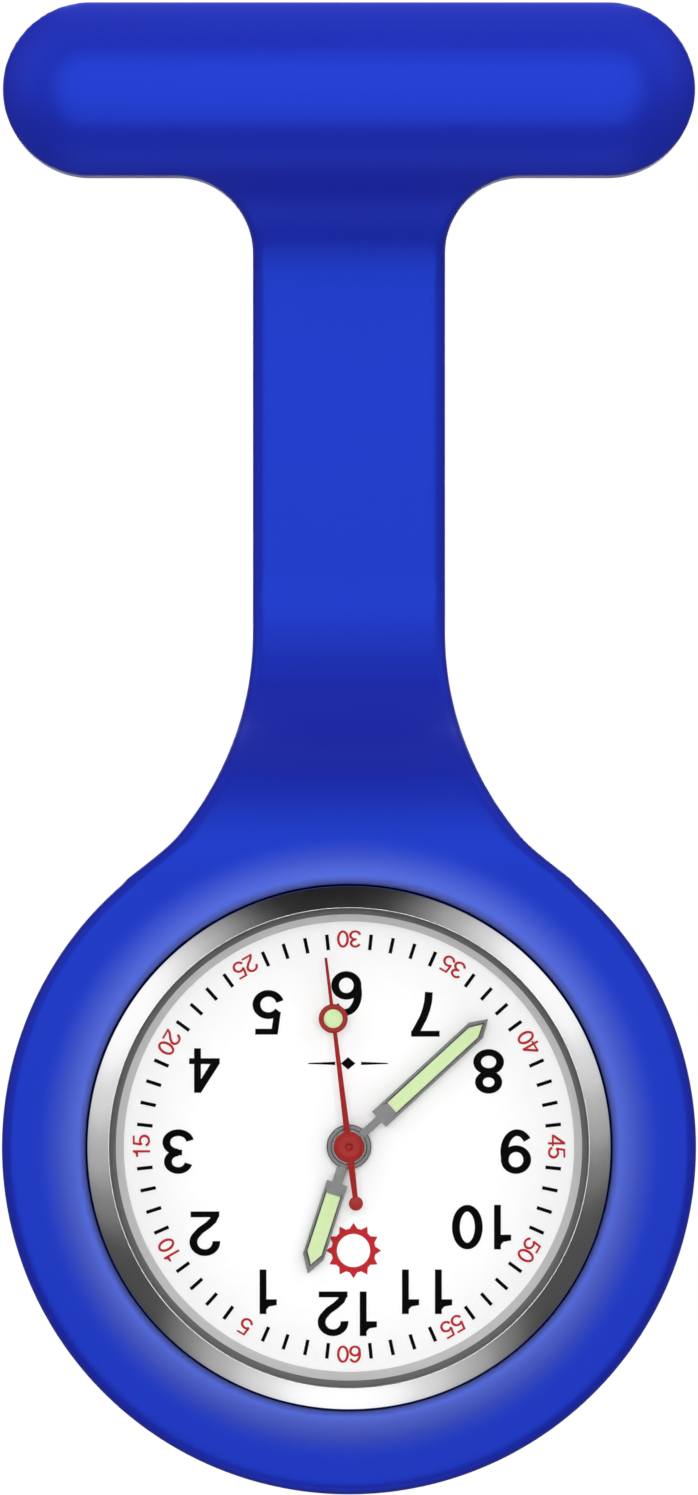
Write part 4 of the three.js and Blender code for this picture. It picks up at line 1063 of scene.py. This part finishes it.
FINISHES = {
    "case_back_gasket": BLACK_RUBBER, "movement_ring": NYLON, "main_plate": BRASS, "train_bridge": STEEL,
    "bridge_screw_1": STEEL, "bridge_screw_2": STEEL, "stator": STEEL, "coil": COPPER, "coil_core": STEEL,
    "dial_washer": BRASS, "circuit_board": BOARD, "quartz_can": STEEL, "timing_chip": BLACK_RUBBER,
    "battery": POLISHED, "battery_clamp": STEEL, "clamp_screw": STEEL, "clutch_wheel": STEEL,
    "crown_gasket": BLACK_RUBBER, "setting_stem": STEEL, "setting_lever": STEEL, "seconds_wheel": BRASS,
    "intermediate_wheel": BRASS, "rotor": MAGNET, "third_wheel": BRASS, "centre_wheel": BRASS,
    "minute_wheel": BRASS, "hour_wheel": BRASS,
}
for node, finish in FINISHES.items():
    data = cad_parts[node].data
    data.materials.clear()
    data.materials.append(finish)


# ---------------------------------------------------------------- stage, light and camera


def stage_plane(name, corners, material):
    """A flat sheet of the studio, which is not part of the object."""
    mesh = bpy.data.meshes.new(name)
    mesh.from_pydata([tuple(c * MM for c in corner) for corner in corners], [], [(0, 1, 2, 3)])
    mesh.materials.append(material)
    piece = bpy.data.objects.new(name, mesh)
    bpy.context.scene.collection.objects.link(piece)
    return piece


def radiance(value, size):
    """The power of a softbox that glows with this radiance."""
    return value * math.pi * size[0] * size[1] * MM * MM


def softbox(name, where, target, size, power):
    """An area lamp that the camera doesn't see."""
    lamp = bpy.data.lights.new(name, "AREA")
    lamp.shape = "RECTANGLE"
    lamp.size, lamp.size_y = size[0] * MM, size[1] * MM
    lamp.energy = power
    piece = bpy.data.objects.new(name, lamp)
    piece.location = Vector(where) * MM
    piece.rotation_euler = (Vector(target) - Vector(where)).to_track_quat("-Z", "Y").to_euler()
    piece.visible_camera = False
    bpy.context.scene.collection.objects.link(piece)
    return piece


PAPER = grained("pale_paper", (0.88, 0.88, 0.88), (0.92, 0.92, 0.92), 0.8, 0.9, 60.0)
FLOOR_Z = POCKET_LOW[2] - 12
FLOOR_HALF = 900
FLOOR_BACK = 230
floor = stage_plane("floor", [
    (-FLOOR_HALF, -FLOOR_HALF, FLOOR_Z), (FLOOR_HALF, -FLOOR_HALF, FLOOR_Z),
    (FLOOR_HALF, FLOOR_BACK, FLOOR_Z), (-FLOOR_HALF, FLOOR_BACK, FLOOR_Z),
], PAPER)
floor.visible_glossy = False

# The room is white to the camera, lights softly and is dim in reflections, but for the wall
# behind the watch, which the views from behind reflect.
ROOM_LIGHT = 0.42
ROOM_BASE = 0.006
WALL_GLOW = 0.16
world = bpy.data.worlds.new("studio")
world.use_nodes = True
tree = world.node_tree
background = tree.nodes["Background"]
background.inputs["Color"].default_value = (1, 1, 1, 1)
ray = tree.nodes.new("ShaderNodeLightPath")
lit = tree.nodes.new("ShaderNodeMath")
lit.operation = "MULTIPLY_ADD"
lit.inputs[1].default_value = ROOM_LIGHT
lit.inputs[2].default_value = ROOM_BASE
tree.links.new(ray.outputs["Is Diffuse Ray"], lit.inputs[0])
total = tree.nodes.new("ShaderNodeMath")
total.operation = "ADD"
tree.links.new(ray.outputs["Is Camera Ray"], total.inputs[0])
tree.links.new(lit.outputs["Value"], total.inputs[1])
side = tree.nodes.new("ShaderNodeSeparateXYZ")
tree.links.new(tree.nodes.new("ShaderNodeTexCoord").outputs["Generated"], side.inputs["Vector"])
behind = tree.nodes.new("ShaderNodeMapRange")
behind.inputs["From Min"].default_value = 0.15
behind.inputs["From Max"].default_value = 0.6
behind.inputs["To Max"].default_value = WALL_GLOW
tree.links.new(side.outputs["Y"], behind.inputs["Value"])
wall = tree.nodes.new("ShaderNodeMath")
wall.operation = "MULTIPLY_ADD"
tree.links.new(ray.outputs["Is Glossy Ray"], wall.inputs[0])
tree.links.new(behind.outputs["Result"], wall.inputs[1])
tree.links.new(total.outputs["Value"], wall.inputs[2])
tree.links.new(wall.outputs["Value"], background.inputs["Strength"])
bpy.context.scene.world = world
bpy.context.scene.view_settings.view_transform = "Standard"

CENTRE = (0.0, (BEZEL_LOW[1] + BAR_HIGH[1]) / 2, (BAR_HIGH[2] + POCKET_LOW[2]) / 2)


FRONT_SIZE = (740, 840)
softbox("front", (0, -1100, CENTRE[2] - 20), CENTRE, FRONT_SIZE, radiance(4.6, FRONT_SIZE))

# Round soft lamps about the dial, mirrored by the bezel. Each is a stack of discs that fades
# outwards, at a clock angle in degrees, with a glow, and leaning by some degrees per disc.
SIDE_LAMPS = ((52, 0.95, 2.0), (115, 0.06, 0), (181, 1, 0), (243, 0.05, 0), (300.5, 0.97, -2.4))
DISCS = ((185, 0.40), (320, 0.34), (480, 0.28), (640, 0.16))
for clock, glow, lean in SIDE_LAMPS:
    for layer, (width, share) in enumerate(DISCS):
        out = math.radians(clock + lean * layer)
        reach = 346 + 5 * layer
        where = (reach * math.sin(out), -200 - 3 * layer, HEAD_Z + reach * math.cos(out))
        power = radiance(glow * share, (width, width)) * math.pi / 4
        lamp = softbox(f"side_{round(clock)}_{layer}", where, (0, 0, HEAD_Z), (width, width), power)
        lamp.data.shape = "DISK"

TOP_SIZE = (100, 20)
lamp = softbox(
    "top", (0, -25, BAR_RADIUS + 40), (0, BAR_AXIS_Y, 0), TOP_SIZE, radiance(4.4, TOP_SIZE),
)
lamp.visible_glossy = False
BACK_SIZE = (700, 500)
softbox("back", (0, 900, CENTRE[2] + 200), CENTRE, BACK_SIZE, radiance(3.0, BACK_SIZE))
ABOVE_SIZE = (760, 760)
softbox("above", (0, 380, 900), CENTRE, ABOVE_SIZE, radiance(0.9, ABOVE_SIZE))

# The camera is far off and level with the middle, as the photograph has almost no perspective.
SEEN_HEIGHT = 86.4
lens = bpy.data.cameras.new("camera")
lens.lens = 400
camera = bpy.data.objects.new("camera", lens)
distance = SEEN_HEIGHT * lens.lens / lens.sensor_width
camera.location = Vector((0, BEZEL_LOW[1] / 2 - distance, CENTRE[2])) * MM
camera.rotation_euler = (math.radians(90), 0, 0)
lens.clip_start, lens.clip_end = 0.05, 20
bpy.context.scene.collection.objects.link(camera)
bpy.context.scene.camera = camera
